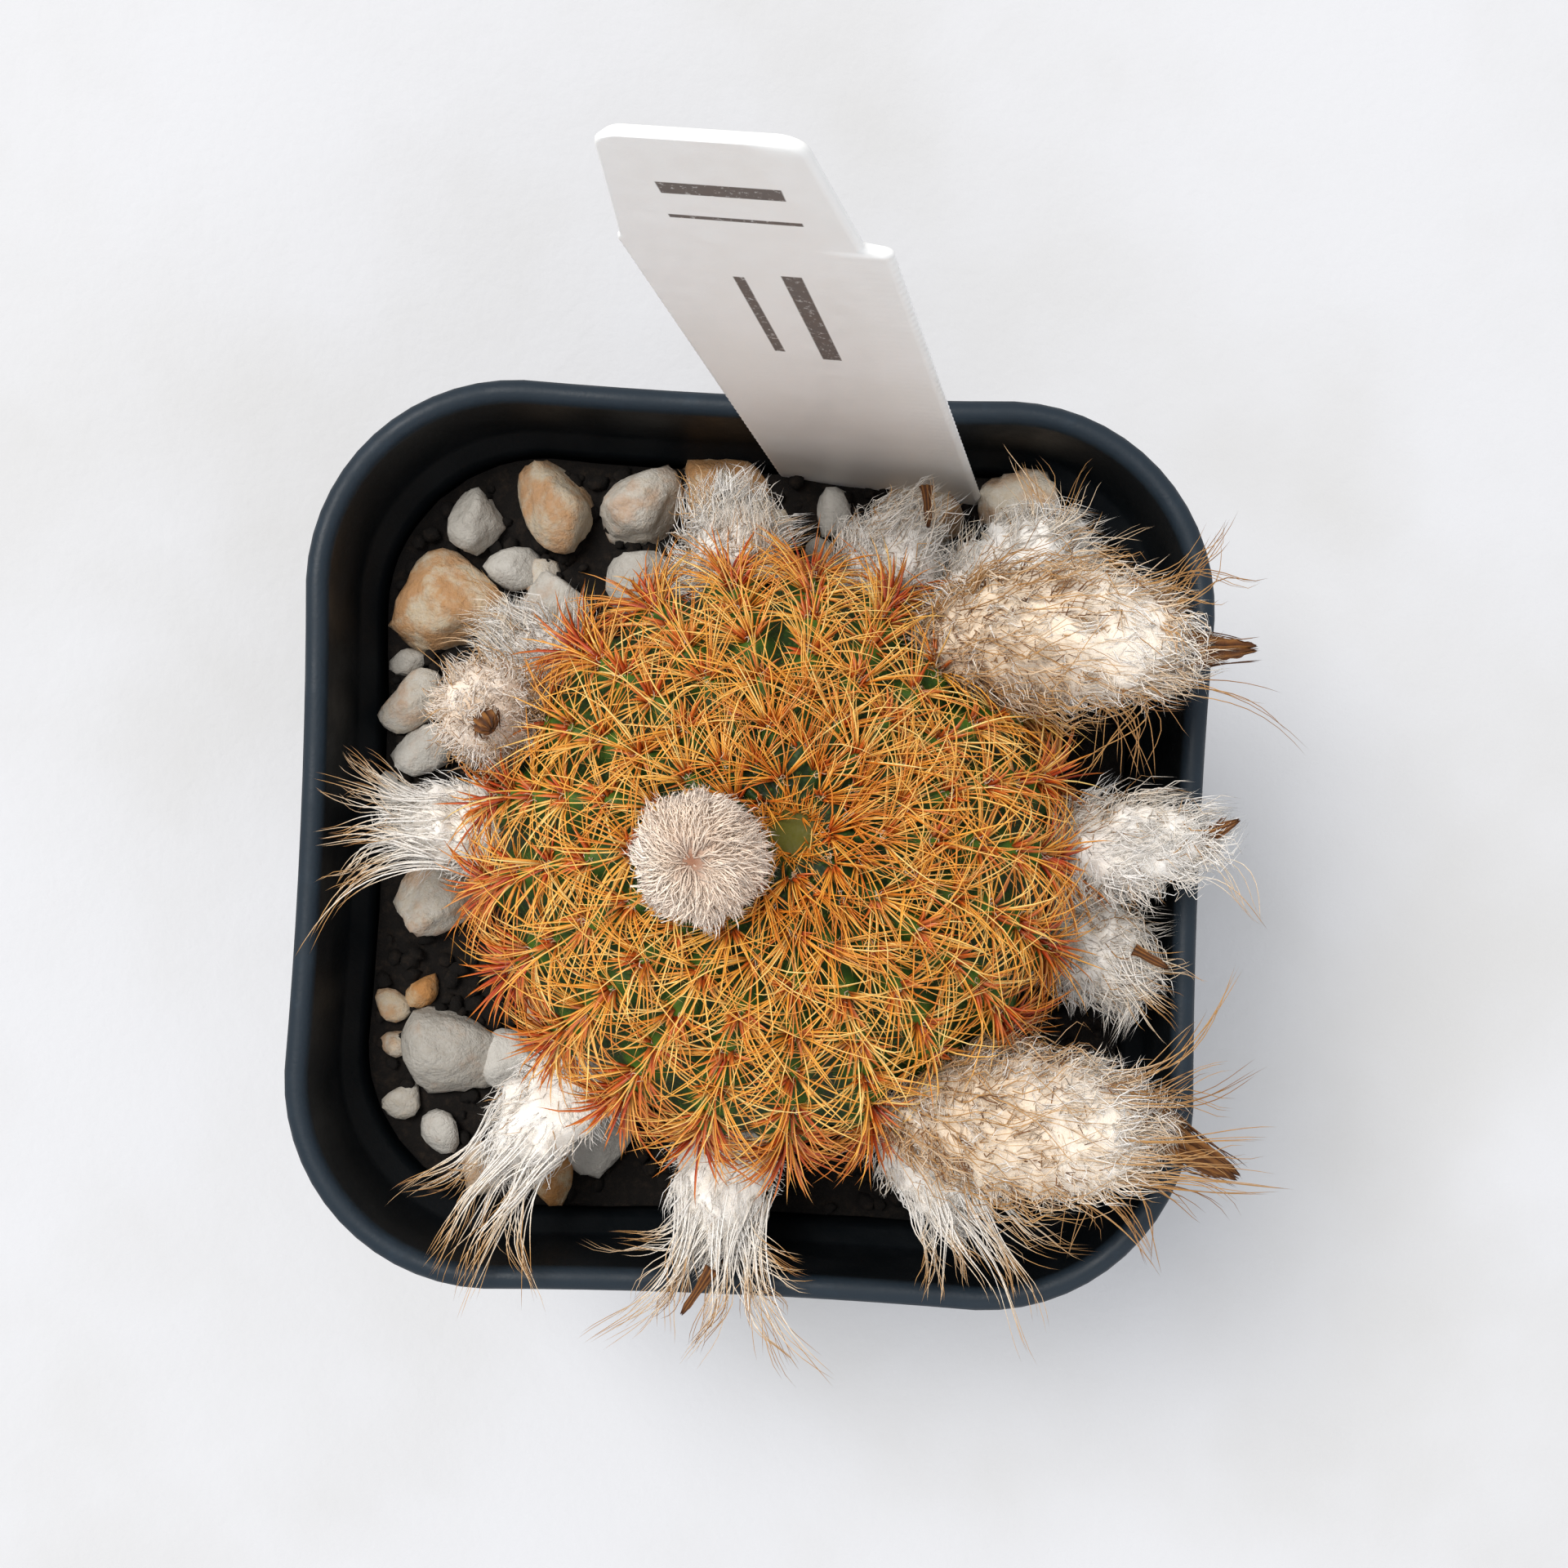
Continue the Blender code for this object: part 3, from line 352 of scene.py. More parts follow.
pot = dict(
    height=55.0, baseHalf=22.5, baseCorner=9.8, collarHalf=27.6, collarCorner=12.4, collarBottom=46.0,
    rimHalf=30.0, rimCorner=13.8, outerStep=1.5, outerRise=0.8, innerStep=1.3, innerRise=1.2,
    wall=1.0, floor=2.0, bow=0.35, lipRound=0.75, arcSteps=14, sideSteps=9, wallRings=12,
    drainReach=12 * math.sqrt(2), drainRadius=3.0, channelHalf=1.5, channelDepth=0.8,
    # The second colour is the painted highlight on the lip's top, where light and sky reflection fall.
    plastic=paint(9, 14, 18), worn=paint(31, 44, 55), dusty=paint(54, 58, 60),
)


def squareOutline(half, corner, bow=pot["bow"]):
    # Four corner arcs, and between them sides that bow in by bow (1 - a²), where a runs from 1 to -1.
    straight = half - corner
    angle = np.linspace(0, math.pi / 2, pot["arcSteps"] + 1)
    along = np.linspace(1, -1, pot["sideSteps"] + 2)[1:-1]
    arc = np.stack([straight + corner * np.cos(angle), straight + corner * np.sin(angle)], axis=-1)
    side = np.stack([straight * along, half - bow * (1 - along ** 2)], axis=-1)
    quarter = np.concatenate([arc, side])
    quarters = [quarter]
    for _ in range(3):
        quarters.append(np.stack([-quarters[-1][:, 1], quarters[-1][:, 0]], axis=-1))
    return np.concatenate(quarters)


def wallAt(height):
    # Half width and corner radius of the outer wall, which widen evenly from base to collar.
    share = height / pot["collarBottom"]
    half = between(pot["baseHalf"], pot["collarHalf"], share)
    return half, between(pot["baseCorner"], pot["collarCorner"], share)


def potLevels():
    # Height, half width and corner radius of each ring: under the base, up the outside, over the lip, down inside.
    levels = [(0.0, share * 22.0, share * 9.3) for share in (0.25, 0.5, 0.75, 0.96, 1.0)]
    levels += [(0.12, 22.28, 9.58), (0.5, *wallAt(0.5))]
    levels += [(z, *wallAt(z)) for z in np.linspace(2.5, 45.6, pot["wallRings"])]
    step = pot["collarBottom"]
    levels += [(step, 27.75, 12.45), (step + 0.25, 28.3, 12.75), (step + 0.6, 28.95, 13.15)]
    levels += [(step + pot["outerRise"] + 0.15, 29.12, 13.3)]
    round_ = pot["lipRound"]
    lipTop = pot["height"] - round_
    levels += [(z, *between(np.array([29.15, 13.32]), np.array([30, 13.8]), share))
               for z, share in ((49.0, 0.25), (51.5, 0.6), (53.4, 0.85))]
    for angle in np.linspace(0, math.pi, 9):
        out = 0.8 * math.cos(angle)
        levels.append((lipTop + round_ * math.sin(angle), 29.2 + out, 13.0 + out))
    levels += [(52.0, 28.25, 12.16), (49.5, 28.05, 12.12), (step + pot["innerRise"] + 0.2, 27.92, 12.1)]
    levels += [(step + 0.9, 27.7, 12.0), (step + 0.3, 26.85, 11.5), (step - 0.3, 26.57, 11.38)]
    inner = [wallAt(z) for z in np.linspace(45.0, 3.2, pot["wallRings"])]
    levels += [(z, half - pot["wall"], corner - pot["wall"])
               for z, (half, corner) in zip(np.linspace(45.0, 3.2, pot["wallRings"]), inner)]
    levels += [(2.3, 21.5, 8.8), (2.0, 21.0, 8.4)]
    levels += [(2.0, share * 21.0, share * 8.4) for share in (0.75, 0.5, 0.25)]
    return levels


def makePot():
    rings = []
    for height, half, corner in potLevels():
        outline = squareOutline(half, corner, pot["bow"] * min(1.0, half / pot["baseHalf"]))
        rings.append(np.column_stack([outline, np.full(len(outline), height)]))
    ends = np.array([(0.0, 0.0, 0.0)]), np.array([(0.0, 0.0, pot["floor"])])
    points, faces = joinForms(np.array([rings]), *ends)

    material, shader, wire = makeMaterial("potPlastic", Roughness=0.5, Specular_IOR_Level=0.27)
    height = wire.node("ShaderNodeSeparateXYZ", {}, {0: wire.place()}, "Z") * (1 / (pot["height"] * mm))
    # Painted highlight: the top of the lip is blended to the lighter blue-grey, broken up by noise, in place of light
    # and sky reflection on it.
    edge = height.step(0.984, 0.996)
    highlightMottle = wire.noise(2.6, detail=6, roughness=0.7).step(0.52, 0.75)
    dust = wire.noise(7, detail=5, roughness=0.65).step(0.5, 0.8) * 0.08
    base = (edge * (0.7 + highlightMottle * 0.3)).blend(pot["plastic"], pot["worn"])
    connect(shader, Base_Color=dust.blend(base, pot["dusty"]))
    connect(shader, Roughness=wire.noise(3.5, detail=5).step(0.3, 0.7, 0.44, 0.6) + dust * 0.8)
    grain = wire.noise(0.28, detail=3) * 0.7 + wire.noise(5, detail=2) * 0.6
    connect(shader, Normal=grain.bump(0.03))
    piece = makePiece("potShell", [(points, faces, {})], material, ["pot"])

    turn = np.linspace(0, fullTurn, 32, endpoint=False)
    for quarter in range(4):
        angle = (quarter + 0.5) * math.pi / 2
        way = np.array([math.cos(angle), math.sin(angle), 0.0])
        across = np.array([-way[1], way[0], 0.0])
        middle = way * pot["drainReach"]
        circle = np.column_stack([np.cos(turn), np.sin(turn), np.zeros(len(turn))]) * pot["drainRadius"]
        hole = np.array([[circle + middle + (0, 0, -3.0), circle + middle + (0, 0, 6.0)]])
        parts = [(*joinForms(hole, middle[None] - (0, 0, 3.0), middle[None] + (0, 0, 6.0)), {})]
        cutOut(piece, parts)
        half, deep = pot["channelHalf"], pot["channelDepth"]
        square = np.array([across * half + (0, 0, deep), -across * half + (0, 0, deep),
                           -across * half - (0, 0, 3.0), across * half - (0, 0, 3.0)])
        channel = np.array([[square + middle, square + way * 34.0]])
        cutOut(piece, [(*joinForms(channel, square.mean(0)[None] + middle,
                                   square.mean(0)[None] + way * 34.0), {})])
    piece.data.shade_smooth()
    piece.data.set_sharp_from_angle(angle=math.radians(40))


makePot()
print("pot made")


# Body of the cactus

body = dict(
    centre=(1.8, -0.6, 57.5), crown=(2.6, 1.4, 72.9), radius=17.3, above=15.4, below=17.5,
    dip=0.8, dipSpread=9.0, ribs=21, starts=8, ribHeight=1.15, ridgeShare=0.35, rows=10,
    firstRow=12.0, rowStep=10.3, fadeRows=3.0, rings=120, ribColumns=9,
    # The first and third colours are painted shade for the furrows and painted highlight for the knob tops.
    furrowShade=paint(14, 30, 6), skin=paint(38, 68, 14), ridge=paint(74, 108, 26), crownSkin=paint(80, 78, 8),
)
bodyCentre = np.array(body["centre"])
bodyLean = Vector((0, 0, 1)).rotation_difference(Vector(body["crown"]) - Vector(body["centre"]))
bodyTurn = np.array(bodyLean.to_matrix())


def onBody(polar, around, lift=0.0):
    # A squat globe, radius + lift across and above or below + lift high, less a dip at the crown, leaned over.
    angle = np.radians(polar)
    height = np.where(polar < 90, body["above"], body["below"]) + lift
    dip = body["dip"] * np.exp(-((polar / body["dipSpread"]) ** 2))
    across = (body["radius"] + lift) * np.sin(angle)
    local = np.stack([across * np.cos(around), across * np.sin(around), (height - dip) * np.cos(angle)], axis=-1)
    return local @ bodyTurn.T + bodyCentre


def rowShift(rib):
    # How far a rib's rows lie along it, from -0.5 to 0.5 rows, so that the areoles wind in spirals.
    return (rib * body["starts"] / body["ribs"]) % 1.0 - 0.5


def knobLift(polar, around):
    # Rib height × fade × ridge × (share + (1 - share) knob): ridge is a cosine across a rib, knob one along it.
    turn = around / fullTurn * body["ribs"]
    rib = np.round(turn) % body["ribs"]
    ridge = np.cos(math.pi * (turn - np.round(turn))) ** 1.3
    row = (polar - body["firstRow"]) / body["rowStep"] - rowShift(rib)
    knob = 0.5 + 0.5 * np.cos(fullTurn * row)
    strength = np.clip((row + 1) / body["fadeRows"], 0, 1) * fade(150 - polar, 0, 45) * fade(polar, 3, 10)
    return strength * ridge * (body["ridgeShare"] + (1 - body["ridgeShare"]) * knob)


def makeSkin():
    columns = body["ribs"] * body["ribColumns"]
    polar = np.linspace(180, 0, body["rings"] + 2)[1:-1, None]
    around = (np.arange(columns) / columns * fullTurn)[None]
    polar, around = np.broadcast_arrays(polar, around)
    lift = knobLift(polar, around)
    rings = onBody(polar, around, lift * body["ribHeight"])
    rings = rings + unit(rings - bodyCentre) * (ripple(rings, 1.1, 5) * 0.04)[..., None]
    poles = onBody(np.array([180.0, 0.0]), 0.0)
    points, faces = joinForms(rings[None], poles[:1], poles[1:])
    values = {
        "knob": np.concatenate([lift.ravel(), [0, 0]]),
        "crown": np.concatenate([(1 - fade(polar, 4.0, 7.0)).ravel(), [0, 1]]),
    }

    material, shader, wire = makeMaterial("cactusSkin", Roughness=0.6, Specular_IOR_Level=0.25)
    knob = wire.value("knob")
    patches = wire.noise(2.4, detail=4)
    # Painted shade and highlight: by the knob's lift the skin runs from the dark furrow green to the light ridge green,
    # with random patches mixed in; pale specks of the ridge green sit on the papillae.
    shade = (knob * 0.85 + patches * 0.35 - 0.12).ramp(
        (0.0, body["furrowShade"]), (0.45, body["skin"]), (0.95, body["ridge"]))
    spots = wire.cells(0.32)
    shade = (spots.step(0.0, 0.45, 0.45, 0.0)).blend(shade, body["ridge"])
    connect(shader, Base_Color=wire.value("crown").blend(shade, body["crownSkin"]))
    connect(shader, Roughness=patches.step(0.3, 0.7, 0.5, 0.72))
    connect(shader, Normal=((1 - spots) * 0.7 + wire.noise(0.5) * 0.5).bump(0.05))
    makePiece("cactusSkin", [(points, faces, values)], material, ["cactus_body"])


makeSkin()
print("skin made")


# Woolly heads: where each lies and how thick it is, and its long strands as (x, y, z of the tip, hairs in it)

heads = {
    "bud_top": dict(
        path=((-1.9, -0.2, 70.5), (-2.4, -0.2, 74.0), (-2.8, -0.3, 78.2)), width=7.6, flare=0.25, strands=()),
    "fruit_upper_right": dict(
        path=((9.6, 11.6, 63.0), (15.0, 15.4, 66.3), (25.7, 13.1, 66.2)), width=9.4, flare=0.35,
        strands=(
            (28.0, 21.1, 67.5, 11), (29.4, 18.6, 68.5, 12), (29.6, 16.8, 64.5, 8), (34.4, 10.5, 67.0, 2),
            (35.3, 6.9, 65.5, 3), (27.6, 8.4, 69.0, 5), (24.5, 4.4, 65.0, 11), (21.2, 5.6, 63.0, 9))),
    "fruit_lower_right": dict(
        path=((8.2, -13.2, 62.5), (15.3, -17.4, 65.0), (25.2, -15.6, 65.4)), width=10.2, flare=0.3,
        strands=(
            (29.9, -7.4, 67.0, 9), (31.4, -11.4, 68.0, 11), (32.6, -13.6, 64.5, 9), (34.5, -19.3, 67.5, 11),
            (30.2, -22.9, 63.0, 10), (26.4, -25.2, 65.5, 11), (21.3, -25.6, 64.0, 8), (33.6, -16.6, 69.5, 11))),
    "fruit_left": dict(
        path=((-13.6, 6.6, 59.5), (-16.8, 8.1, 62.0), (-16.7, 7.9, 67.4)), width=6.8, flare=0.1,
        strands=((-19.4, 11.2, 68.0, 5), (-20.2, 6.6, 67.0, 5))),
    "tuft_left": dict(
        path=((-13.6, 0.2, 53.0), (-18.8, 0.4, 53.4), (-23.4, 0.6, 54.0)), width=8.0, flare=0.0,
        strands=(
            (-28.2, -7.0, 57.6, 30), (-28.0, -0.4, 57.2, 24), (-28.3, 2.8, 58.0, 20), (-26.6, 5.4, 57.4, 22))),
    "tuft_lower_left": dict(
        path=((-8.0, -12.6, 52.6), (-12.4, -18.0, 53.0), (-15.4, -21.8, 53.6)), width=8.4, flare=0.0,
        strands=(
            (-21.6, -24.6, 54.2, 32), (-17.6, -30.3, 58.0, 26), (-13.4, -29.0, 57.4, 22),
            (-19.6, -27.4, 56.9, 24))),
    "tuft_bottom": dict(
        path=((0.2, -15.8, 52.8), (-0.8, -22.0, 53.2), (-1.2, -26.2, 54.4)), width=9.0, flare=0.0,
        strands=(
            (-7.9, -32.3, 58.2, 24), (-4.6, -31.0, 57.2, 26), (-1.6, -33.9, 58.0, 26), (2.2, -31.8, 57.4, 26),
            (5.8, -33.8, 58.6, 26), (7.2, -27.2, 56.9, 18), (-9.6, -26.4, 54.6, 18))),
    "tuft_lower_right": dict(
        path=((8.6, -14.2, 53.0), (12.4, -20.0, 53.2), (14.6, -24.0, 54.0)), width=8.0, flare=0.0,
        strands=(
            (12.9, -28.9, 57.0, 24), (16.4, -28.7, 57.2, 22), (21.0, -31.0, 58.0, 30), (23.4, -25.8, 56.2, 16))),
    "tuft_right_low": dict(
        path=((17.6, -3.2, 53.4), (22.8, -4.4, 54.0), (25.2, -8.4, 55.0)), width=7.0, flare=0.0,
        strands=((27.6, -10.8, 57.0, 26), (30.0, -6.6, 58.2, 12))),
    "tuft_right": dict(
        path=((17.6, 0.6, 57.8), (23.6, 1.2, 59.4), (28.8, 1.7, 60.2)), width=5.8, flare=0.1,
        strands=((33.3, -2.8, 58.6, 8),)),
    "tuft_upper_right": dict(
        path=((10.8, 12.0, 52.8), (15.6, 18.4, 52.8), (20.0, 21.8, 53.6)), width=7.6, flare=0.1,
        strands=((22.6, 24.2, 56.2, 20), (24.6, 20.8, 56.0, 18), (17.4, 26.0, 56.0, 18))),
    "tuft_top_right": dict(
        path=((6.6, 13.6, 53.2), (8.4, 18.6, 53.6), (9.6, 22.4, 54.6)), width=6.8, flare=0.0,
        strands=((7.6, 22.8, 57.6, 14), (11.6, 22.4, 58.0, 14))),
    "tuft_top": dict(
        path=((-0.6, 14.6, 52.8), (-1.7, 19.4, 53.0), (-2.4, 22.8, 53.6)), width=7.2, flare=0.0,
        strands=((-5.0, 24.8, 55.2, 14), (-6.6, 22.4, 55.0, 14))),
    "tuft_upper_left": dict(
        path=((-11.0, 9.0, 52.8), (-14.2, 11.4, 53.0), (-16.8, 13.4, 54.0)), width=5.8, flare=0.0,
        strands=((-19.6, 16.2, 56.2, 14), (-20.4, 12.8, 56.0, 14))),
}


def headPlace(head, share):
    # Points on the head's bezier, and there the side, up and along directions, which are square to each other.
    start, middle, end = (np.array(point) for point in head["path"])
    share = share[..., None]
    along = unit((middle - start) * (1 - share) + (end - middle) * share)
    side = np.cross((0.0, 0.0, 1.0), along)
    side = unit(np.where(np.linalg.norm(side, axis=-1, keepdims=True) < 0.3, (1.0, 0.0, 0.0), side))
    side = unit(side - along * (side * along).sum(-1, keepdims=True))
    return bezier(start, middle, end, share), side, np.cross(along, side), along


def headRadius(head, share):
    # An ellipse along the path, swelling towards the outer end by the flare.
    ellipse = np.sqrt(np.clip(1 - (2 * share - 1) ** 2, 0, 1))
    return head["width"] / 2 * ellipse * (1 + head["flare"] * (2 * share - 1))


def woolBalls():
    # Centres and radii of balls that fill the heads.
    share = np.linspace(0.1, 1, 12)
    centres = np.concatenate([headPlace(head, share)[0] for head in heads.values()])
    return centres, np.concatenate([headRadius(head, share) for head in heads.values()])


def clearOfWool(routes, room):
    # Which routes keep out of every ball but for their first point.
    centres, radii = woolBalls()
    gap = np.linalg.norm(routes[:, 1:, None] - centres, axis=-1) - radii
    return gap.min(axis=(1, 2)) > room


# Spines

spines = dict(
    radials=(
        dict(rows=(-1,), count=14, length=2.4, rise=46.0, sweep=0.8, radius=0.058),
        dict(rows=(0,), count=30, length=4.4, rise=37.0, sweep=1.0, radius=0.066),
        dict(rows=(1,), count=32, length=5.2, rise=33.0, sweep=0.9, radius=0.072),
        dict(rows=(2, 3), count=27, length=5.6, rise=31.0, sweep=0.55, radius=0.078),
        dict(rows=(4,), count=26, length=5.6, rise=30.0, sweep=0.3, radius=0.08),
        dict(rows=(5, 6), count=23, length=5.4, rise=32.0, sweep=0.25, radius=0.082),
        dict(rows=(7, 8, 9), count=15, length=5.0, rise=38.0, sweep=0.4, radius=0.088),
    ),
    centrals=(
        dict(rows=(0, 1), count=5, length=1.7, rise=60.0, sweep=0.9, radius=0.13),
        dict(rows=(2, 3, 4), count=9, length=2.3, rise=58.0, sweep=0.5, radius=0.17),
        dict(rows=(5, 6), count=10, length=3.4, rise=50.0, sweep=0.55, radius=0.15),
        dict(rows=(7, 8, 9), count=12, length=5.0, rise=42.0, sweep=0.6, radius=0.13),
    ),
    bend=0.26, waver=0.3, points=5, seat=0.22, sunk=0.25, lowest=48.6, woolRoom=-0.9, nearCrown=3.6, tilt=0.2,
    jitter=2.0, rustShare=0.05,
    cream=paint(255, 224, 140), gold=paint(244, 176, 68), amber=paint(214, 124, 34),
    rust=paint(188, 68, 18), foot=paint(128, 26, 8), tip=paint(254, 210, 124),
)


def areoles(rows):
    # Each areole's point, its outward and crownward directions and the one across them, and its row.
    row, rib = (grid.ravel() for grid in np.meshgrid(rows, np.arange(body["ribs"]), indexing="ij"))
    polar = np.maximum(body["firstRow"] + body["rowStep"] * (row + rowShift(rib)), spines["nearCrown"])
    around = rib / body["ribs"] * fullTurn
    lift = body["ribHeight"] * np.clip((row + 1) / body["fadeRows"], 0, 1)
    here = onBody(polar, around, lift)
    crownward = unit(onBody(polar - 1, around, lift) - here)
    outward = unit(np.cross(onBody(polar, around + 0.02, lift) - here, crownward))
    return here, outward, crownward, np.cross(crownward, outward), row


def spineRoutes(group, dice):
    # Foot + length (t way - bend t² outward + waver t² aside). Ways fan round each areole, lean with its own
    # chance tilt, and sweep gathers them towards the side that faces away from the crown.
    spots = areoles(group["rows"])
    lean = dice.normal(0, spines["tilt"], spots[0].shape)
    here, outward, crownward, side, row, lean = (
        np.repeat(array, group["count"], axis=0) for array in (*spots, lean))
    total = len(here)
    turn = np.arange(total) % group["count"] + dice.normal(0, spines["jitter"], total)
    turn = turn / group["count"] % 1.0
    turn = (turn * 2 - 1) * math.pi * (1 - group["sweep"] * 0.6) + dice.normal(0, 0.1, total)
    rise = np.radians(group["rise"] + dice.normal(0, 14, total))
    level = side * np.sin(turn)[:, None] - crownward * np.cos(turn)[:, None]
    way = unit(outward * np.sin(rise)[:, None] + level * np.cos(rise)[:, None] + lean)
    length = group["length"] * dice.uniform(0.6, 1.2, total) * (1 + 0.1 * np.cos(turn))
    t = np.linspace(0, 1, spines["points"])[:, None]
    waver = dice.normal(0, spines["waver"], (total, 1, 1))
    curve = way[:, None] * t - outward[:, None] * t ** 2 * spines["bend"]
    curve = curve + np.cross(way, outward)[:, None] * waver * t ** 2
    foot = here + level * spines["seat"] - outward * spines["sunk"]
    return foot[:, None] + curve * length[:, None, None], row


def spineTubes(groups, rusty, seed):
    dice = np.random.default_rng(seed)
    parts = []
    for group in groups:
        routes, row = spineRoutes(group, dice)
        kept = clearOfWool(routes, spines["woolRoom"]) & (routes[:, :, 2].min(axis=1) > spines["lowest"])
        routes, row = routes[kept], row[kept]
        t = np.linspace(0, 1, spines["points"])[None]
        radii = group["radius"] * dice.uniform(0.8, 1.2, (len(routes), 1)) * (1 - t ** 1.6 * 0.9)
        tone = np.clip(dice.normal(0.5, 0.24, (len(routes), 1)) - (row[:, None] < 1) * 0.24, 0, 1)
        outer = fade(row[:, None] + dice.normal(0, 1.0, (len(routes), 1)), 3.6, 8)
        odd = dice.uniform(0, 1, (len(routes), 1)) < spines["rustShare"]
        values = {"along": t, "tone": tone, "rusty": np.clip(rusty + outer * 0.7 + odd * 0.6, 0, 1)}
        parts.append(tubes(routes, radii, values))
    return parts


def makeSpines():
    material, shader, wire = makeMaterial("spineHorn", Roughness=0.38, Specular_IOR_Level=0.55)
    along, tone, rusty = wire.value("along"), wire.value("tone"), wire.value("rusty")
    streak = wire.noise(0.5, detail=2) * 0.3
    shade = (tone + streak - 0.15).ramp((0.05, spines["amber"]), (0.5, spines["gold"]), (0.98, spines["cream"]))
    shade = (along.step(0.75, 1.0) * 0.5).blend(shade, spines["tip"])
    red = (along + streak * 0.5).ramp((0.1, spines["foot"]), (0.5, spines["rust"]), (0.95, spines["amber"]))
    shade = rusty.blend(shade, red)
    foot = along.step(0.04, 0.2, 0.8, 0.0)
    connect(shader, Base_Color=foot.blend(shade, spines["rust"]))
    connect(shader, Roughness=streak.step(0.05, 0.25, 0.3, 0.5))
    makePiece("goldenSpines", spineTubes(spines["radials"], 0.0, 21), material)
    makePiece("centralSpines", spineTubes(spines["centrals"], 0.85, 22), material)


makeSpines()
print("spines made")


# Wool

wool = dict(
    coreShare=0.78, coreRings=30, coreColumns=34, lumpSize=2.3, rootDepth=0.96,
    lowest=49.0, overRim=55.5, innerWall=27.5, bristleHair=0.052, steps=4, hairTip=0.45, fray=(0.6, 1.0),
    white=paint(252, 250, 246), cream=paint(242, 224, 198), tan=paint(198, 150, 90), brown=paint(122, 76, 34),
    # The last colour is painted shade, the grey-brown at the root end of a fruit, next to the body.
    rose=paint(254, 234, 214), blush=paint(146, 102, 80), dusk=paint(138, 108, 66),
)
# Of a head's fine hairs: how many, where the first stand, how long, their curl, and the shares of outward, along
# the head and chance in their ways. Then the clumps they gather in, their colours, and the long hairs' manner.
# The tan of each head's solid middle is painted shade, seen in the gaps between the hairs.
woolKinds = {
    "bud": dict(
        hairs=3400, first=0.25, crowd=0.6, length=(1.3, 2.4), curl=0.24, turns=0.9, spread=0.12, comb=-0.95, stray=0.25,
        clumps=60, pull=0.34, tan=0.05, tanVaries=0.05, rosy=0.95, dusk=0.0, core=0.12, tipTan=0.85, fine=0.062,
        fray=0.0, depth=1.0, lumps=0.06, bristles=0, neck=0.2, part=0.2, wave=0.2, loose=0.1, lock=3, whiteTo=0.2,
        strandTan=(0.2, 0.4), hair=0.05, dark=0.0),
    "fruit": dict(
        hairs=4400, first=0.02, crowd=0.72, length=(1.2, 2.8), curl=0.3, turns=1.0, spread=0.36, comb=0.65, stray=0.5,
        clumps=200, pull=0.5, tan=0.27, tanVaries=0.15, rosy=0.1, dusk=0.4, core=0.3, tipTan=0.0, fine=0.05,
        fray=0.6, depth=0.98, lumps=0.1, bristles=200, neck=0.4, part=1.3, wave=0.75, loose=0.16, lock=4, whiteTo=0.1,
        strandTan=(0.6, 0.95), hair=0.07, dark=0.17),
    "small": dict(
        hairs=1500, first=0.05, crowd=0.8, length=(0.9, 2.0), curl=0.2, turns=0.9, spread=0.8, comb=0.15, stray=0.45,
        clumps=110, pull=0.5, tan=0.15, tanVaries=0.12, rosy=0.5, dusk=0.0, core=0.35, tipTan=0.3, fine=0.043,
        fray=0.0, depth=1.0, lumps=0.12, bristles=130, neck=0.4, part=1.0, wave=0.4, loose=0.15, lock=2, whiteTo=0.1,
        strandTan=(0.5, 0.8), hair=0.055, dark=0.12),
    "tuft": dict(
        hairs=1050, first=0.02, crowd=1.0, length=(1.2, 2.9), curl=0.26, turns=0.7, spread=0.4, comb=0.8, stray=0.36,
        clumps=60, pull=0.45, tan=0.03, tanVaries=0.05, rosy=0.04, dusk=0.0, core=0.1, tipTan=0.0, fine=0.044,
        fray=0.4, depth=0.86, lumps=0.16, bristles=0, neck=0.32, part=1.2, wave=0.58, loose=0.22, lock=4, whiteTo=0.4,
        strandTan=(0.5, 1.0), hair=0.064, dark=0.03),
    "wisp": dict(
        hairs=2000, first=0.02, crowd=1.0, length=(1.2, 4.4), curl=0.42, turns=0.9, spread=0.36, comb=0.6, stray=0.52,
        clumps=50, pull=0.65, tan=0.03, tanVaries=0.06, rosy=0.05, dusk=0.0, core=0.05, tipTan=0.0, fine=0.045,
        fray=0.0, depth=1.08, lumps=0.16, bristles=0, neck=0.5, part=1.4, wave=0.6, loose=0.3, lock=3, whiteTo=0.3,
        strandTan=(0.4, 0.9), hair=0.06, dark=0.1),
}
kindOf = {
    "bud_top": "bud", "fruit_upper_right": "fruit", "fruit_lower_right": "fruit", "fruit_left": "small",
    "tuft_top": "wisp", "tuft_top_right": "wisp", "tuft_upper_right": "wisp", "tuft_upper_left": "wisp",
    "tuft_right": "wisp", "tuft_right_low": "wisp",
}


def keepClear(points):
    # Wool stays above the gravel and the pot's rim, and is pushed out of the body along its own radius.
    points = points.copy()
    local = (points - bodyCentre) @ bodyTurn
    sizes = np.where(local[..., 2:] > 0, body["above"], body["below"])
    reach = np.linalg.norm(local / np.concatenate([np.full_like(local[..., :2], body["radius"]), sizes], -1), axis=-1)
    push = np.maximum(1.0, 1.05 / np.maximum(reach, 0.2))[..., None]
    points = bodyCentre + (local * push) @ bodyTurn.T
    over = np.abs(points[..., :2]).max(axis=-1) > wool["innerWall"]
    points[..., 2] = np.maximum(points[..., 2], np.where(over, wool["overRim"], wool["lowest"]))
    return points


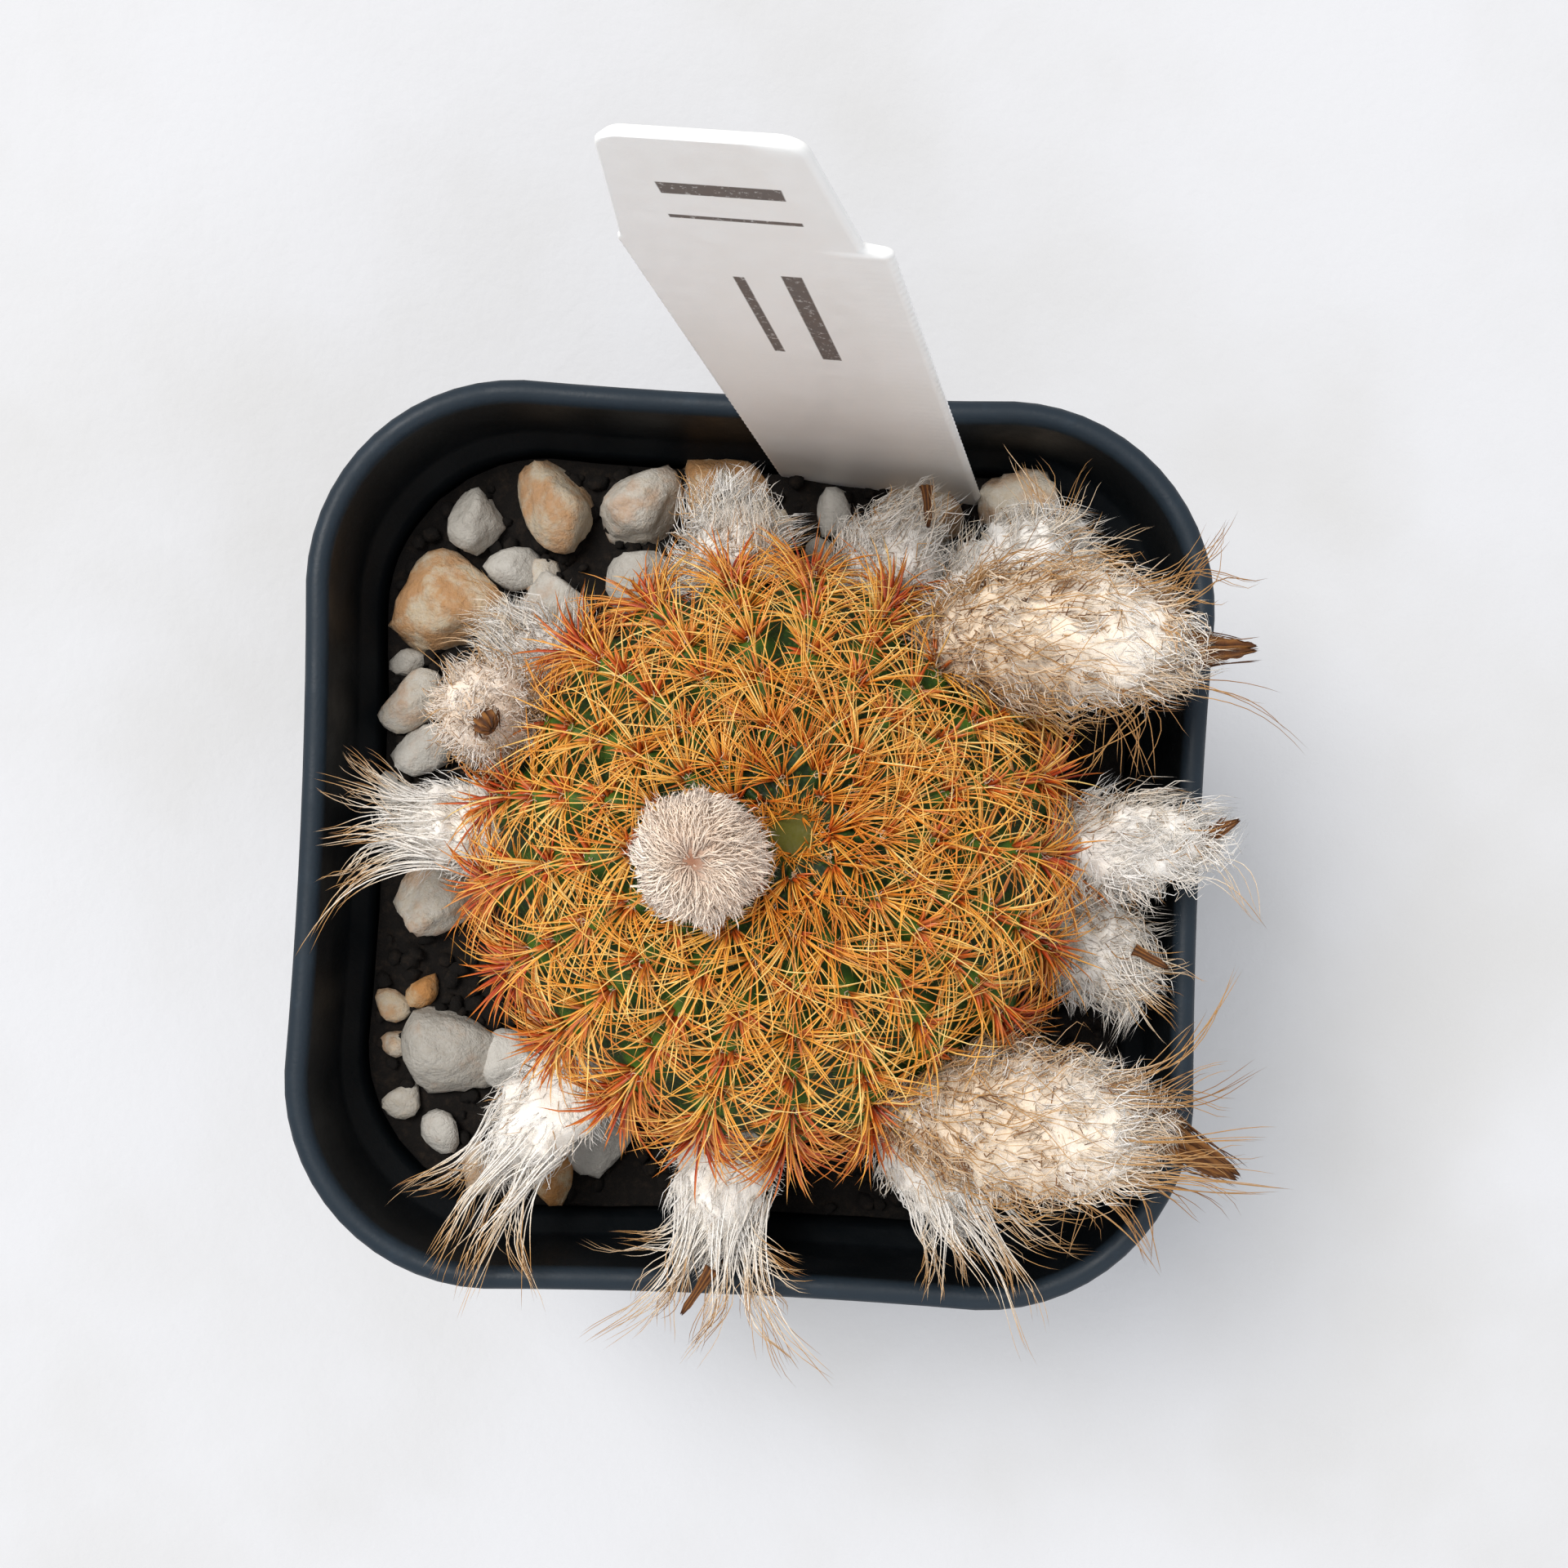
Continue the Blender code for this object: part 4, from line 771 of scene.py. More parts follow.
def onWool(head, kind, share, angle, depth=1.0):
    # Middle + outward × radius × core share × depth × (1 + lumps × ripple): the head's soft surface, its normal,
    # and the way forward along it.
    middle, side, up, along = headPlace(head, share)
    outward = side * np.cos(angle)[..., None] + up * np.sin(angle)[..., None]
    reach = (wool["coreShare"] * kind["depth"] * headRadius(head, share))[..., None]
    lump = ripple(middle + outward * reach, wool["lumpSize"], 3)[..., None] * kind["lumps"]
    tilt = (2 * share - 1)[..., None]
    flank = np.sqrt(np.clip(1 - tilt ** 2, 0, 1))
    normal = unit(outward * flank + along * tilt)
    forward = unit(along * flank - outward * tilt)
    return middle + outward * reach * depth * (1 + lump), normal, forward


def coreForm(head, kind):
    # The head's solid middle, from the first point of its path to the last.
    share = np.linspace(0, 1, wool["coreRings"] + 2)[1:-1, None]
    angle = (np.arange(wool["coreColumns"]) / wool["coreColumns"] * fullTurn)[None]
    share, angle = np.broadcast_arrays(share, angle)
    rings = keepClear(onWool(head, kind, share, angle)[0])[None]
    start, end = (np.array(head["path"][i])[None] for i in (0, 2))
    points, faces = joinForms(rings, keepClear(start), end)
    along = np.concatenate([[0], share[:, 0], [1]])[None]
    plain = np.ones_like(along)
    # The middle's tan is painted shade for the gaps between the hairs, lighter towards the outer end.
    values = {
        "tan": formValues(kind["core"] * (1 - 0.5 * fade(along, 0.4, 0.9)) + kind["tipTan"] * fade(along, 0.95, 1.0),
                          wool["coreColumns"]),
        "rosy": formValues(plain * kind["rosy"], wool["coreColumns"]),
        # Painted shade at the root end of the head, next to the body.
        "dusk": formValues(kind["dusk"] * (1 - fade(along, 0.05, 0.2)), wool["coreColumns"]),
    }
    return points, faces, values


def curls(roots, ways, lengths, curl, turns, steps, dice):
    # Root + way length t, plus a coil of radius curl about that line that makes this many turns.
    t = np.linspace(0, 1, steps)[None, :, None]
    aside = unit(np.cross(ways, dice.normal(size=ways.shape)))[:, None]
    over = np.cross(ways, aside[:, 0])[:, None]
    phase = dice.uniform(0, fullTurn, (len(roots), 1, 1))
    turn = phase + t * fullTurn * turns * dice.uniform(0.5, 1.5, phase.shape)
    size = curl * dice.uniform(0.4, 1.5, phase.shape)
    coil = aside * (np.cos(turn) - np.cos(phase)) + over * (np.sin(turn) - np.sin(phase))
    return roots[:, None] + ways[:, None] * lengths[:, None, None] * t + coil * size


def clumped(routes, clumps, pull):
    # Every hair leans to the nearest of a few leading hairs, by a share pull × t^1.5 that grows to its tip.
    leaders = routes[:clumps]
    nearest = np.linalg.norm(routes[:, None, 0] - leaders[None, :, 0], axis=-1).argmin(axis=1)
    t = np.linspace(0, 1, routes.shape[1])[None, :, None]
    return between(routes, leaders[nearest], pull * t ** 1.5), nearest


def fleece(head, kind, dice):
    # Fine hairs rooted just under the soft surface, whose ways mix outward, along the head, and chance.
    count = kind["hairs"]
    share = between(kind["first"], 0.9995, dice.uniform(0, 1, count) ** kind["crowd"])
    roots, normal, forward = onWool(head, kind, share, dice.uniform(0, fullTurn, count), wool["rootDepth"])
    ways = normal * kind["spread"] + forward * kind["comb"]
    ways = unit(ways + dice.normal(0, kind["stray"], roots.shape))
    lengths = dice.uniform(*kind["length"], count) * (1 + kind["fray"] * fade(share, *wool["fray"]))
    routes = curls(roots, ways, lengths, kind["curl"], kind["turns"], wool["steps"], dice)
    routes, nearest = clumped(routes, kind["clumps"], kind["pull"])
    t = np.linspace(0, 1, wool["steps"])[None]
    radii = kind["fine"] * dice.uniform(0.7, 1.3, (count, 1)) * (1 - 0.6 * t)
    paler = fade(share, 0.4, 0.85)[:, None]
    patch = ripple(roots, 3.2, 8)[:, None]
    luck = dice.normal(0, kind["tanVaries"], (count, 1)) + dice.normal(0, kind["tanVaries"], count)[nearest][:, None]
    tan = kind["tan"] * (1 + 0.8 * patch) * (1 - 0.5 * paler) + luck
    tan = tan + (dice.uniform(0, 1, (count, 1)) < kind["dark"] * (1.4 - paler)) * dice.uniform(0.4, 0.8, (count, 1))
    tan = tan + kind["tipTan"] * wool["hairTip"] * fade(share, 0.93, 1.0)[:, None] * (1 - t)
    # Painted shade at the root end of the head, next to the body.
    dusk = kind["dusk"] * (1 - fade(share + dice.normal(0, 0.05, count), 0.04, 0.2))[:, None]
    values = {"tan": np.clip(tan + 0.05 * t, 0, 1), "rosy": kind["rosy"] * (0.85 + 0.3 * patch), "dusk": dusk}
    return tubes(keepClear(routes), radii, values)


def bristles(head, kind, dice):
    # Long tan hairs that lie along the wool: share and angle drift as t grows, and the hair lifts off and waves.
    count = kind["bristles"]
    t = np.linspace(0, 1, 9)[None]
    share = np.clip(dice.uniform(0.04, 0.6, (count, 1)) + t * dice.uniform(0.2, 0.42, (count, 1)), 0, 0.97)
    angle = dice.uniform(0, fullTurn, (count, 1)) + t * dice.normal(0, 0.35, (count, 1))
    angle = angle + 0.06 * np.sin(t * dice.uniform(4, 9, (count, 1)))
    lift = 1.16 + t * dice.uniform(0.1, 0.6, (count, 1)) + 0.04 * np.sin(t * 9 + angle * 3)
    routes = keepClear(onWool(head, kind, share, angle, lift[..., None])[0])
    radii = wool["bristleHair"] * dice.uniform(0.7, 1.2, (count, 1)) * (1 - 0.65 * t)
    tan = np.clip(dice.uniform(0.38, 0.78, (count, 1)) + 0.08 * t, 0, 1)
    return tubes(routes, radii, {"tan": tan, "rosy": 0.0, "dusk": 0.0})


def strandHairs(head, kind, dice):
    # Guide + offset × gather + coil × wave: the hairs of a strand start spread in the wool, gather on its guide,
    # which is a bezier that sways, and part again towards their tips in locks of a few hairs.
    strands = np.array(head["strands"])
    which = np.repeat(np.arange(len(strands)), strands[:, 3].astype(int))
    tips, count = strands[which, :3], len(which)
    lock = np.arange(count) // kind["lock"]

    def shared(low, high):
        return dice.uniform(low, high, (lock[-1] + 1, 1, 1))[lock]

    spot = 0.72 + dice.uniform(-0.14, 0.14, count)
    middle, side, up, along = headPlace(head, spot)
    aside = tips - np.array(head["path"][2])
    aside = unit(aside - along * (aside * along).sum(-1, keepdims=True))
    start = middle + aside * (headRadius(head, spot) * 0.5)[:, None]
    bend = start + along * np.linalg.norm(tips - start, axis=-1, keepdims=True) * 0.5 + (0, 0, 0.8)
    t = np.linspace(0, 1, 13)[None, :, None]
    reach = t * shared(0.62, 1.06) * (1 + dice.normal(0, 0.04, (count, 1, 1)))
    ahead = unit(tips - start)
    across = unit(np.cross(ahead, (0.0, 0.0, 1.0)))[:, None]
    over = np.cross(ahead, across[:, 0])[:, None]
    sway = dice.uniform(-1, 1, len(strands))[which][:, None, None] * 0.9
    guide = bezier(start[:, None], bend[:, None], tips[:, None], reach)
    guide = guide + across * sway * np.sin(reach * 1.5 * math.pi) * reach
    angle = shared(0, fullTurn) + dice.normal(0, 0.3, (count, 1, 1))
    gather = 1.5 * (1 - t) ** 2.2 + kind["neck"] + kind["part"] * fade(t, 0.35, 1.05) * shared(0, 1)
    coil = shared(0, fullTurn) + t * fullTurn * shared(0.5, 1.8)
    wave = kind["wave"] * t * shared(0.3, 1.2)
    offset = (across * np.cos(angle) + over * np.sin(angle)) * np.sqrt(shared(0, 1))
    routes = guide + offset * gather + (across * np.cos(coil) + over * np.sin(coil)) * wave
    routes = routes + dice.normal(0, kind["loose"], (count, 1, 3)) * (0.4 + fade(t, 0.2, 1.0))
    thin = t[..., 0]
    radii = kind["hair"] * dice.uniform(0.75, 1.2, (count, 1)) * (1 - 0.75 * thin ** 1.4)
    late = shared(*kind["strandTan"])[..., 0]
    early = kind["tan"] + 0.03
    rise = fade(thin + dice.normal(0, 0.06, (count, 1)), kind["whiteTo"], kind["whiteTo"] + 0.6)
    tan = early + (late - early) * rise
    return tubes(keepClear(routes), radii, {"tan": tan, "rosy": 0.0, "dusk": 0.0})


def woolMaterial():
    material, shader, wire = makeMaterial(
        "dryWool", Roughness=0.95, Specular_IOR_Level=0.15, Sheen_Weight=0.15, Sheen_Roughness=0.6)
    flecks = wire.noise(0.7, detail=3)
    tan = wire.value("tan") + (flecks - 0.5) * 0.2
    shade = tan.ramp((0.0, wool["white"]), (0.3, wool["cream"]), (0.66, wool["tan"]), (1.0, wool["brown"]))
    rosy = tan.step(0.0, 0.9).blend(wool["rose"], wool["blush"])
    shade = wire.value("rosy").blend(shade, rosy)
    # Painted shade, grey-brown, at the root end of each head.
    connect(shader, Base_Color=wire.value("dusk").blend(shade, wool["dusk"]))
    connect(shader, Normal=wire.noise(0.22, detail=3, roughness=0.7).bump(0.12))
    return material


def makeWool():
    material = woolMaterial()
    for number, (node, head) in enumerate(heads.items()):
        kind = woolKinds[kindOf.get(node, "tuft")]
        dice = np.random.default_rng(100 + number)
        parts = [coreForm(head, kind), fleece(head, kind, dice)]
        if kind["bristles"]:
            parts.append(bristles(head, kind, dice))
        if head["strands"]:
            parts.append(strandHairs(head, kind, dice))
        words = node.split("_")
        name = words[0] + "".join(word.capitalize() for word in words[1:]) + "Wool"
        makePiece(name, parts, material, [node])


makeWool()
print("wool made")


# Dried flowers

flowers = dict(
    rings=26, columns=56, pleats=7, depth=0.3, twist=0.9, flat=0.72, steps=10, hairRadius=0.07,
    light=paint(154, 104, 50), dark=paint(40, 22, 12), mid=paint(98, 58, 26),
    scraps=(
        dict(ends=((-1.2, -27.4, 57.0), (-3.0, -30.3, 57.2)), radii=(0.5, 0.22)),
        dict(ends=((10.5, 23.9, 56.2), (10.7, 21.2, 56.6)), radii=(0.46, 0.22)),
        dict(ends=((25.0, -5.5, 58.0), (27.2, -6.6, 58.2)), radii=(0.46, 0.2)),
    ),
    places={
        "dried_flower_upper_right": dict(
            ends=((24.8, 13.1, 66.2), (30.2, 13.6, 65.2)), radii=(1.6, 0.45), hairs=26, over=1.15),
        "dried_flower_lower_right": dict(
            ends=((24.3, -15.2, 65.4), (30.8, -18.7, 63.8)), radii=(1.7, 0.6), hairs=46, over=1.1),
        "dried_flower_left": dict(
            ends=((-16.2, 7.4, 66.4), (-15.3, 6.6, 69.0)), radii=(0.95, 0.7), hairs=12, over=0.9),
        "dried_flower_right": dict(
            ends=((28.2, 1.6, 60.2), (30.6, 3.1, 61.5)), radii=(0.6, 0.3), hairs=6, over=0.9),
    },
)


def flowerForm(place, seed):
    # A tapering tube whose radius is cut by pleats: 1 - depth (1 - cos(pleats a + twist t)) / 2, and by ripples.
    start, end = (np.array(point) for point in place["ends"])
    t = np.linspace(0, 1, flowers["rings"])[:, None]
    angle = (np.arange(flowers["columns"]) / flowers["columns"] * fullTurn)[None]
    along = unit(end - start)
    side = unit(np.cross((0.0, 0.0, 1.0), along))
    up = np.cross(along, side)
    pleat = 0.5 - 0.5 * np.cos(flowers["pleats"] * angle + flowers["twist"] * fullTurn * t * 0.3 + seed)
    fine = 0.5 - 0.5 * np.cos(17 * angle + 3 * t + seed * 2)
    radius = between(*place["radii"], t ** 0.7) * (1 - flowers["depth"] * pleat - 0.07 * fine)
    radius = radius * (1 + 0.12 * np.sin(t * 7 + seed)) * np.sqrt(np.clip((1.04 - t) / 0.16, 0, 1))
    rag = fade(t, 0.6, 1.0) * (0.6 * pleat - 0.4) * place["radii"][0]
    ring = (side * (np.cos(angle) * radius)[..., None] + up * (np.sin(angle) * radius * flowers["flat"])[..., None])
    ring = ring + start + along * (t * np.linalg.norm(end - start) + rag)[..., None]
    ring = ring + up * (0.25 * np.sin(t * math.pi))[..., None]
    ring = ring + unit(ring - start - along * (t * 5)[..., None]) * (ripple(ring, 0.8, seed) * 0.05)[..., None]
    last = ring[-1].mean(axis=0)
    points, faces = joinForms(ring[None], start[None], last[None])
    # Painted shade: the pleat valleys take low values and so show darker.
    fold = np.concatenate([(1 - pleat * 0.8 - 0.2 * fine).ravel(), [0.3, 0.1]])
    return points, faces, {"fold": fold}


def flowerHairs(place, seed):
    # Dry threads laid over the tube: start + along t + outward (radius narrowing with t) + a wave that grows.
    dice = np.random.default_rng(seed)
    start, end = (np.array(point) for point in place["ends"])
    t = np.linspace(0, 1, flowers["steps"])[None, :, None]
    along = unit(end - start)
    side = unit(np.cross((0.0, 0.0, 1.0), along))
    up = np.cross(along, side)
    each = (place["hairs"], 1, 1)
    angle = dice.uniform(0, fullTurn, each) + t * dice.normal(0, 0.5, each)
    outward = side * np.cos(angle) + up * np.sin(angle) * flowers["flat"]
    length = np.linalg.norm(end - start) * dice.uniform(0.6, place["over"], each)
    radius = between(place["radii"][0] * dice.uniform(0.9, 1.12, each), place["radii"][1] + 0.15, t ** 0.8)
    wave = np.sin(t * dice.uniform(3, 8, each) + angle * 2) * 0.22 * t
    curve = side * wave + up * wave * dice.normal(0, 1, each)
    routes = start + along * (t * length) + outward * radius + curve
    radii = flowers["hairRadius"] * dice.uniform(0.6, 1.3, (place["hairs"], 1)) * (1 - 0.6 * t[..., 0])
    # On the threads the value is a random tone for each.
    fold = np.clip(dice.uniform(0.25, 1.15, (place["hairs"], 1)) - 0.2 * t[..., 0], 0, 1.1)
    return tubes(routes, radii, {"fold": fold})


def makeFlowers():
    material, shader, wire = makeMaterial("dryPetal", Roughness=0.8, Specular_IOR_Level=0.3)
    patches = wire.noise(1.1, detail=5, roughness=0.65)
    # Dark where the value is low: painted shade in the pleat valleys, random tone on the threads.
    shade = (wire.value("fold") * 0.6 + patches * 0.7 - 0.15).ramp(
        (0.1, flowers["dark"]), (0.5, flowers["mid"]), (0.95, flowers["light"]))
    connect(shader, Base_Color=shade)
    connect(shader, Roughness=patches.step(0.3, 0.7, 0.6, 0.9))
    connect(shader, Normal=wire.noise(0.3, detail=4, roughness=0.7).bump(0.12))
    for number, (node, place) in enumerate(flowers["places"].items()):
        words = node.split("_")
        name = words[0] + "".join(word.capitalize() for word in words[1:])
        parts = [flowerForm(place, number + 1), flowerHairs(place, number + 50)]
        makePiece(name, parts, material, [node])
    scraps = [flowerForm(place, number + 20) for number, place in enumerate(flowers["scraps"])]
    makePiece("driedScraps", scraps, material)


makeFlowers()
print("dried flowers made")


# Wool specks on the areoles

specks = dict(hairs=5, length=(0.4, 0.9), curl=0.14, turns=0.8, radius=0.042, pale=0.45, rosy=0.3)


def makeSpecks():
    dice = np.random.default_rng(31)
    here, outward, crownward, side, row = (
        np.repeat(array, specks["hairs"], axis=0) for array in areoles(range(body["rows"])))
    roots = here + (crownward + side) * dice.normal(0, 0.18, (len(here), 1)) - outward * 0.1
    ways = unit(outward * 0.8 + dice.normal(0, 0.7, here.shape))
    lengths = dice.uniform(*specks["length"], len(here))
    routes = curls(roots, ways, lengths, specks["curl"], specks["turns"], 5, dice)
    kept = clearOfWool(routes, -0.5)
    routes = routes[kept]
    radii = specks["radius"] * np.ones((len(routes), 1)) * np.linspace(1, 0.5, 5)[None]
    tan = np.clip(dice.normal(specks["pale"], 0.12, (len(routes), 1)), 0, 1)
    part = tubes(routes, radii, {"tan": tan, "rosy": specks["rosy"], "dusk": 0.0})
    makePiece("areoleWool", [part], bpy.data.materials["dryWool"])


makeSpecks()
print("areole wool made")


# Gravel: pebbles on a thin dark bed

gravel = dict(
    bedBottom=45.05, bedTop=45.8, bedHalf=26.1, bedCorner=11.0, bodyRadius=13.25, seed=11,
    pebbleTop=48.9, pebbleLow=45.4, fill=(2.7, 1.1), tries=1500, crowding=0.9, bodyGap=13.4,
    looseBack=14.0, looseCorner=(-8.0, -12.0), looseBand=3.4,
    crumbs=900, crumbSize=(0.3, 0.75), planes=13, sharp=12.0, knownScale=1.03,
    white=paint(214, 211, 204), grey=paint(156, 151, 142), sand=paint(190, 170, 138), ochre=paint(172, 112, 44),
    loam=paint(17, 14, 12), crumb=paint(42, 34, 27),
)
# The stones that show best, as (x, y, half width, how ochre).
knownStones = (
    (-20.2, 21.3, 2.25, 0.05), (-14.5, 22.4, 2.9, 0.6), (-9.1, 22.9, 2.9, 0.4), (-3.1, 23.8, 3.2, 0.75),
    (-22.1, 15.5, 3.4, 0.7), (-17.4, 18.1, 1.6, 0.05), (-15.4, 17.9, 1.2, 0.45), (-14.3, 16.2, 2.2, 0.3),
    (-24.5, 11.5, 1.1, 0.1), (-24.0, 8.6, 2.0, 0.4), (-23.0, 5.2, 1.9, 0.25), (-25.0, 2.6, 1.2, 0.15),
    (-21.7, -5.1, 2.5, 0.45), (-24.6, -12.4, 1.1, 0.6), (-22.4, -11.5, 1.2, 0.85), (-24.2, -15.2, 1.1, 0.5),
    (-19.8, -15.4, 2.9, 0.25), (-23.4, -19.0, 1.3, 0.35), (-20.9, -20.9, 1.5, 0.1), (-16.1, -15.5, 2.0, 0.15),
    (-17.6, -23.7, 1.8, 0.55), (17.9, 23.1, 3.0, 0.5), (21.4, 19.0, 2.3, 0.35), (24.2, 12.0, 1.8, 0.3),
)


def stoneForms(places, sizes, flatness, rings, columns, dice):
    # Rounded many-sided stones: distance out along a direction d is the sum over planes of
    # (d · plane / reach)^sharp, to the power -1 / sharp, and the result is scaled and turned.
    count = len(places)
    tilt = np.linspace(math.pi, 0, rings + 2)[:, None]
    turn = (np.arange(columns) / columns * fullTurn)[None]
    ball = np.stack([np.sin(tilt) * np.cos(turn), np.sin(tilt) * np.sin(turn),
                     np.cos(tilt) * np.ones_like(turn)], axis=-1)
    planes = unit(dice.normal(size=(count, gravel["planes"], 3)))
    reaches = dice.uniform(0.78, 1.0, (count, 1, 1, gravel["planes"]))
    facing = np.clip(np.einsum("rcx,npx->nrcp", ball, planes), 0.03, None) / reaches
    out = (facing ** gravel["sharp"]).sum(axis=-1) ** (-1 / gravel["sharp"])
    shape = ball[None] * np.minimum(out, 1.25)[..., None]
    shape = shape * (1 + 0.045 * ripple(shape + places[:, None, None], 0.7, 9)[..., None])
    stretch = np.stack([dice.uniform(0.95, 1.15, count), dice.uniform(0.78, 0.98, count),
                        np.full(count, flatness)], axis=-1)
    shape = shape * (stretch * sizes[:, None])[:, None, None]
    heading = dice.uniform(0, fullTurn, count)
    cos, sin, zero, one = np.cos(heading), np.sin(heading), np.zeros(count), np.ones(count)
    spin = np.array([[cos, -sin, zero], [sin, cos, zero], [zero, zero, one]]).transpose(2, 0, 1)
    shape = np.einsum("nrcx,nyx->nrcy", shape, spin) + places[:, None, None]
    return joinForms(shape[:, 1:-1], shape[:, 0, 0], shape[:, -1, 0])


def stoneSpots(dice):
    # The known stones, then others thrown at random, large ones first, and kept where they crowd none.
    # These lie at the back, in the front left corner and in a band round the body, and leave bare soil elsewhere.
    spots = [(x, y, size * gravel["knownScale"]) for x, y, size, hue in knownStones]
    for tried in range(gravel["tries"]):
        size = between(*gravel["fill"], tried / gravel["tries"])
        x, y = dice.uniform(-gravel["bedHalf"], gravel["bedHalf"], 2)
        straight = gravel["bedHalf"] - size - gravel["bedCorner"]
        over = np.hypot(max(abs(x) - straight, 0), max(abs(y) - straight, 0))
        offBody = np.hypot(x - body["centre"][0], y - body["centre"][1]) - gravel["bodyGap"]
        inCorner = x < gravel["looseCorner"][0] and y < gravel["looseCorner"][1]
        if over > gravel["bedCorner"] or offBody < 0.5 * size:
            continue
        if y < gravel["looseBack"] and not inCorner and offBody > gravel["looseBand"]:
            continue
        if all(np.hypot(x - a, y - b) > gravel["crowding"] * (size + c) for a, b, c in spots):
            spots.append((x, y, size))
    return np.array(spots)


def makePebbles():
    dice = np.random.default_rng(gravel["seed"])
    spots = stoneSpots(dice)
    sizes = spots[:, 2]
    flatness = 0.74
    high = np.minimum(gravel["pebbleLow"] + sizes * flatness * 0.75, gravel["pebbleTop"] - sizes * flatness)
    places = np.column_stack([spots[:, :2], high])
    hues = np.concatenate([[stone[3] for stone in knownStones],
                           dice.beta(1.2, 1.6, len(spots) - len(knownStones))])
    parts = []
    for big, rings, columns in ((True, 17, 26), (False, 9, 14)):
        kept = (sizes > 2.0) == big
        points, faces = stoneForms(places[kept], sizes[kept], flatness, rings, columns, dice)
        each = np.repeat(hues[kept], rings * columns + 2)
        parts.append((points, faces, {"hue": each, "luck": np.repeat(dice.uniform(0, 1, kept.sum()),
                                                                  rings * columns + 2)}))
    material, shader, wire = makeMaterial("pebbleStone", Roughness=0.85, Specular_IOR_Level=0.35)
    hue, luck = wire.value("hue"), wire.value("luck")
    blotch = wire.noise(2.2, detail=5, roughness=0.62)
    fine = wire.noise(0.45, detail=4, roughness=0.7)
    shade = (luck * 0.6 + fine * 0.5).blend(gravel["white"], gravel["grey"])
    shade = (hue * 0.8 + (fine - 0.5) * 0.4).step(0.15, 0.75).blend(shade, gravel["sand"])
    stain = (blotch + hue * 0.34 - 0.1).step(0.5, 0.72) * (hue * 0.9 + 0.05)
    connect(shader, Base_Color=stain.blend(shade, gravel["ochre"]))
    connect(shader, Roughness=fine.step(0.3, 0.7, 0.7, 0.95))
    connect(shader, Normal=(fine * 0.6 + wire.noise(1.4, detail=4) * 0.8).bump(0.34))
    makePiece("pebbleStones", parts, material, ["gravel"])


def bedForm():
    # Between a circle round the body and the pot's wall, low underneath and rippled on top: a closed ring.
    outline = squareOutline(gravel["bedHalf"], gravel["bedCorner"])
    offset = outline - np.array(body["centre"][:2])
    inner = unit(offset) * gravel["bodyRadius"] + np.array(body["centre"][:2])
    share = np.concatenate([np.linspace(0, 1, 3), np.linspace(1, 0, 24)])[:, None, None]
    flat = inner + (outline - inner) * share
    rings = np.concatenate([flat, np.full_like(flat[..., :1], gravel["bedBottom"])], axis=-1)
    top = rings[3:]
    top[..., 2] = gravel["bedTop"] + 0.28 * ripple(top, 2.4, 4) + 0.14 * ripple(top, 0.9, 6)
    rings[3:] = top
    count, corners = rings.shape[:2]
    ring = np.arange(count * corners).reshape(count, corners)
    after, outerRing = np.roll(ring, -1, axis=1), np.roll(ring, -1, axis=0)
    quads = np.stack([ring, after, np.roll(after, -1, axis=0), outerRing], axis=-1).reshape(-1, 4)
    return rings.reshape(-1, 3), [quads], {}


def makeBed():
    dice = np.random.default_rng(gravel["seed"] + 1)
    spots = dice.uniform(-gravel["bedHalf"] + 0.6, gravel["bedHalf"] - 0.6, (gravel["crumbs"] * 3, 2))
    straight = gravel["bedHalf"] - 0.6 - gravel["bedCorner"]
    over = np.linalg.norm(np.maximum(np.abs(spots) - straight, 0), axis=-1)
    offBody = np.linalg.norm(spots - np.array(body["centre"][:2]), axis=-1)
    spots = spots[(over < gravel["bedCorner"]) & (offBody > gravel["bodyRadius"] + 0.5)][:gravel["crumbs"]]
    sizes = dice.uniform(*gravel["crumbSize"], len(spots))
    places = np.column_stack([spots, gravel["bedTop"] + dice.uniform(0.0, 0.5, len(spots))])
    crumbs = (*stoneForms(places, sizes, 0.8, 3, 6, dice), {})
    material, shader, wire = makeMaterial("soilCrumb", Roughness=0.95, Specular_IOR_Level=0.25)
    grains = wire.noise(0.8, detail=5, roughness=0.7)
    connect(shader, Base_Color=grains.step(0.45, 0.8).blend(gravel["loam"], gravel["crumb"]))
    connect(shader, Normal=grains.bump(0.25))
    piece = makePiece("soilBed", [bedForm(), crumbs], material)
    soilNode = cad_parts["soil"]
    soilNode.data.materials.clear()
    soilNode.data.materials.append(material)
    return piece


makePebbles()
makeBed()
print("gravel made")


# Plant label

label = dict(
    foot=(8.1, 25.1, 45.0), notch=(-0.66, 30.73, 90.15), yaw=-6.0, half=7.0, thick=0.6, buried=20.0, point=15.0,
    tipHalf=0.7, head=12.0, topHalf=4.8, notchRight=1.35, notchLeft=0.25, notchSlope=0.4, corner=1.1,
    edge=0.2, tooth=0.04, toothPitch=0.8, ringGap=0.2, columns=(0.97, 0.5, -0.5, -0.97),
    plastic=paint(250, 250, 250), aged=paint(238, 237, 233), ink=paint(62, 46, 38), soft=0.05,
)
# Plain dark bars, as (lowest and highest above the notch, leftmost and rightmost from the middle line).
labelBars = (
    (5.9, 7.2, -3.1, 2.9), (2.95, 3.35, -3.4, 3.2), (-17.0, -4.0, 0.75, 1.85), (-16.2, -4.6, -1.9, -1.3),
)


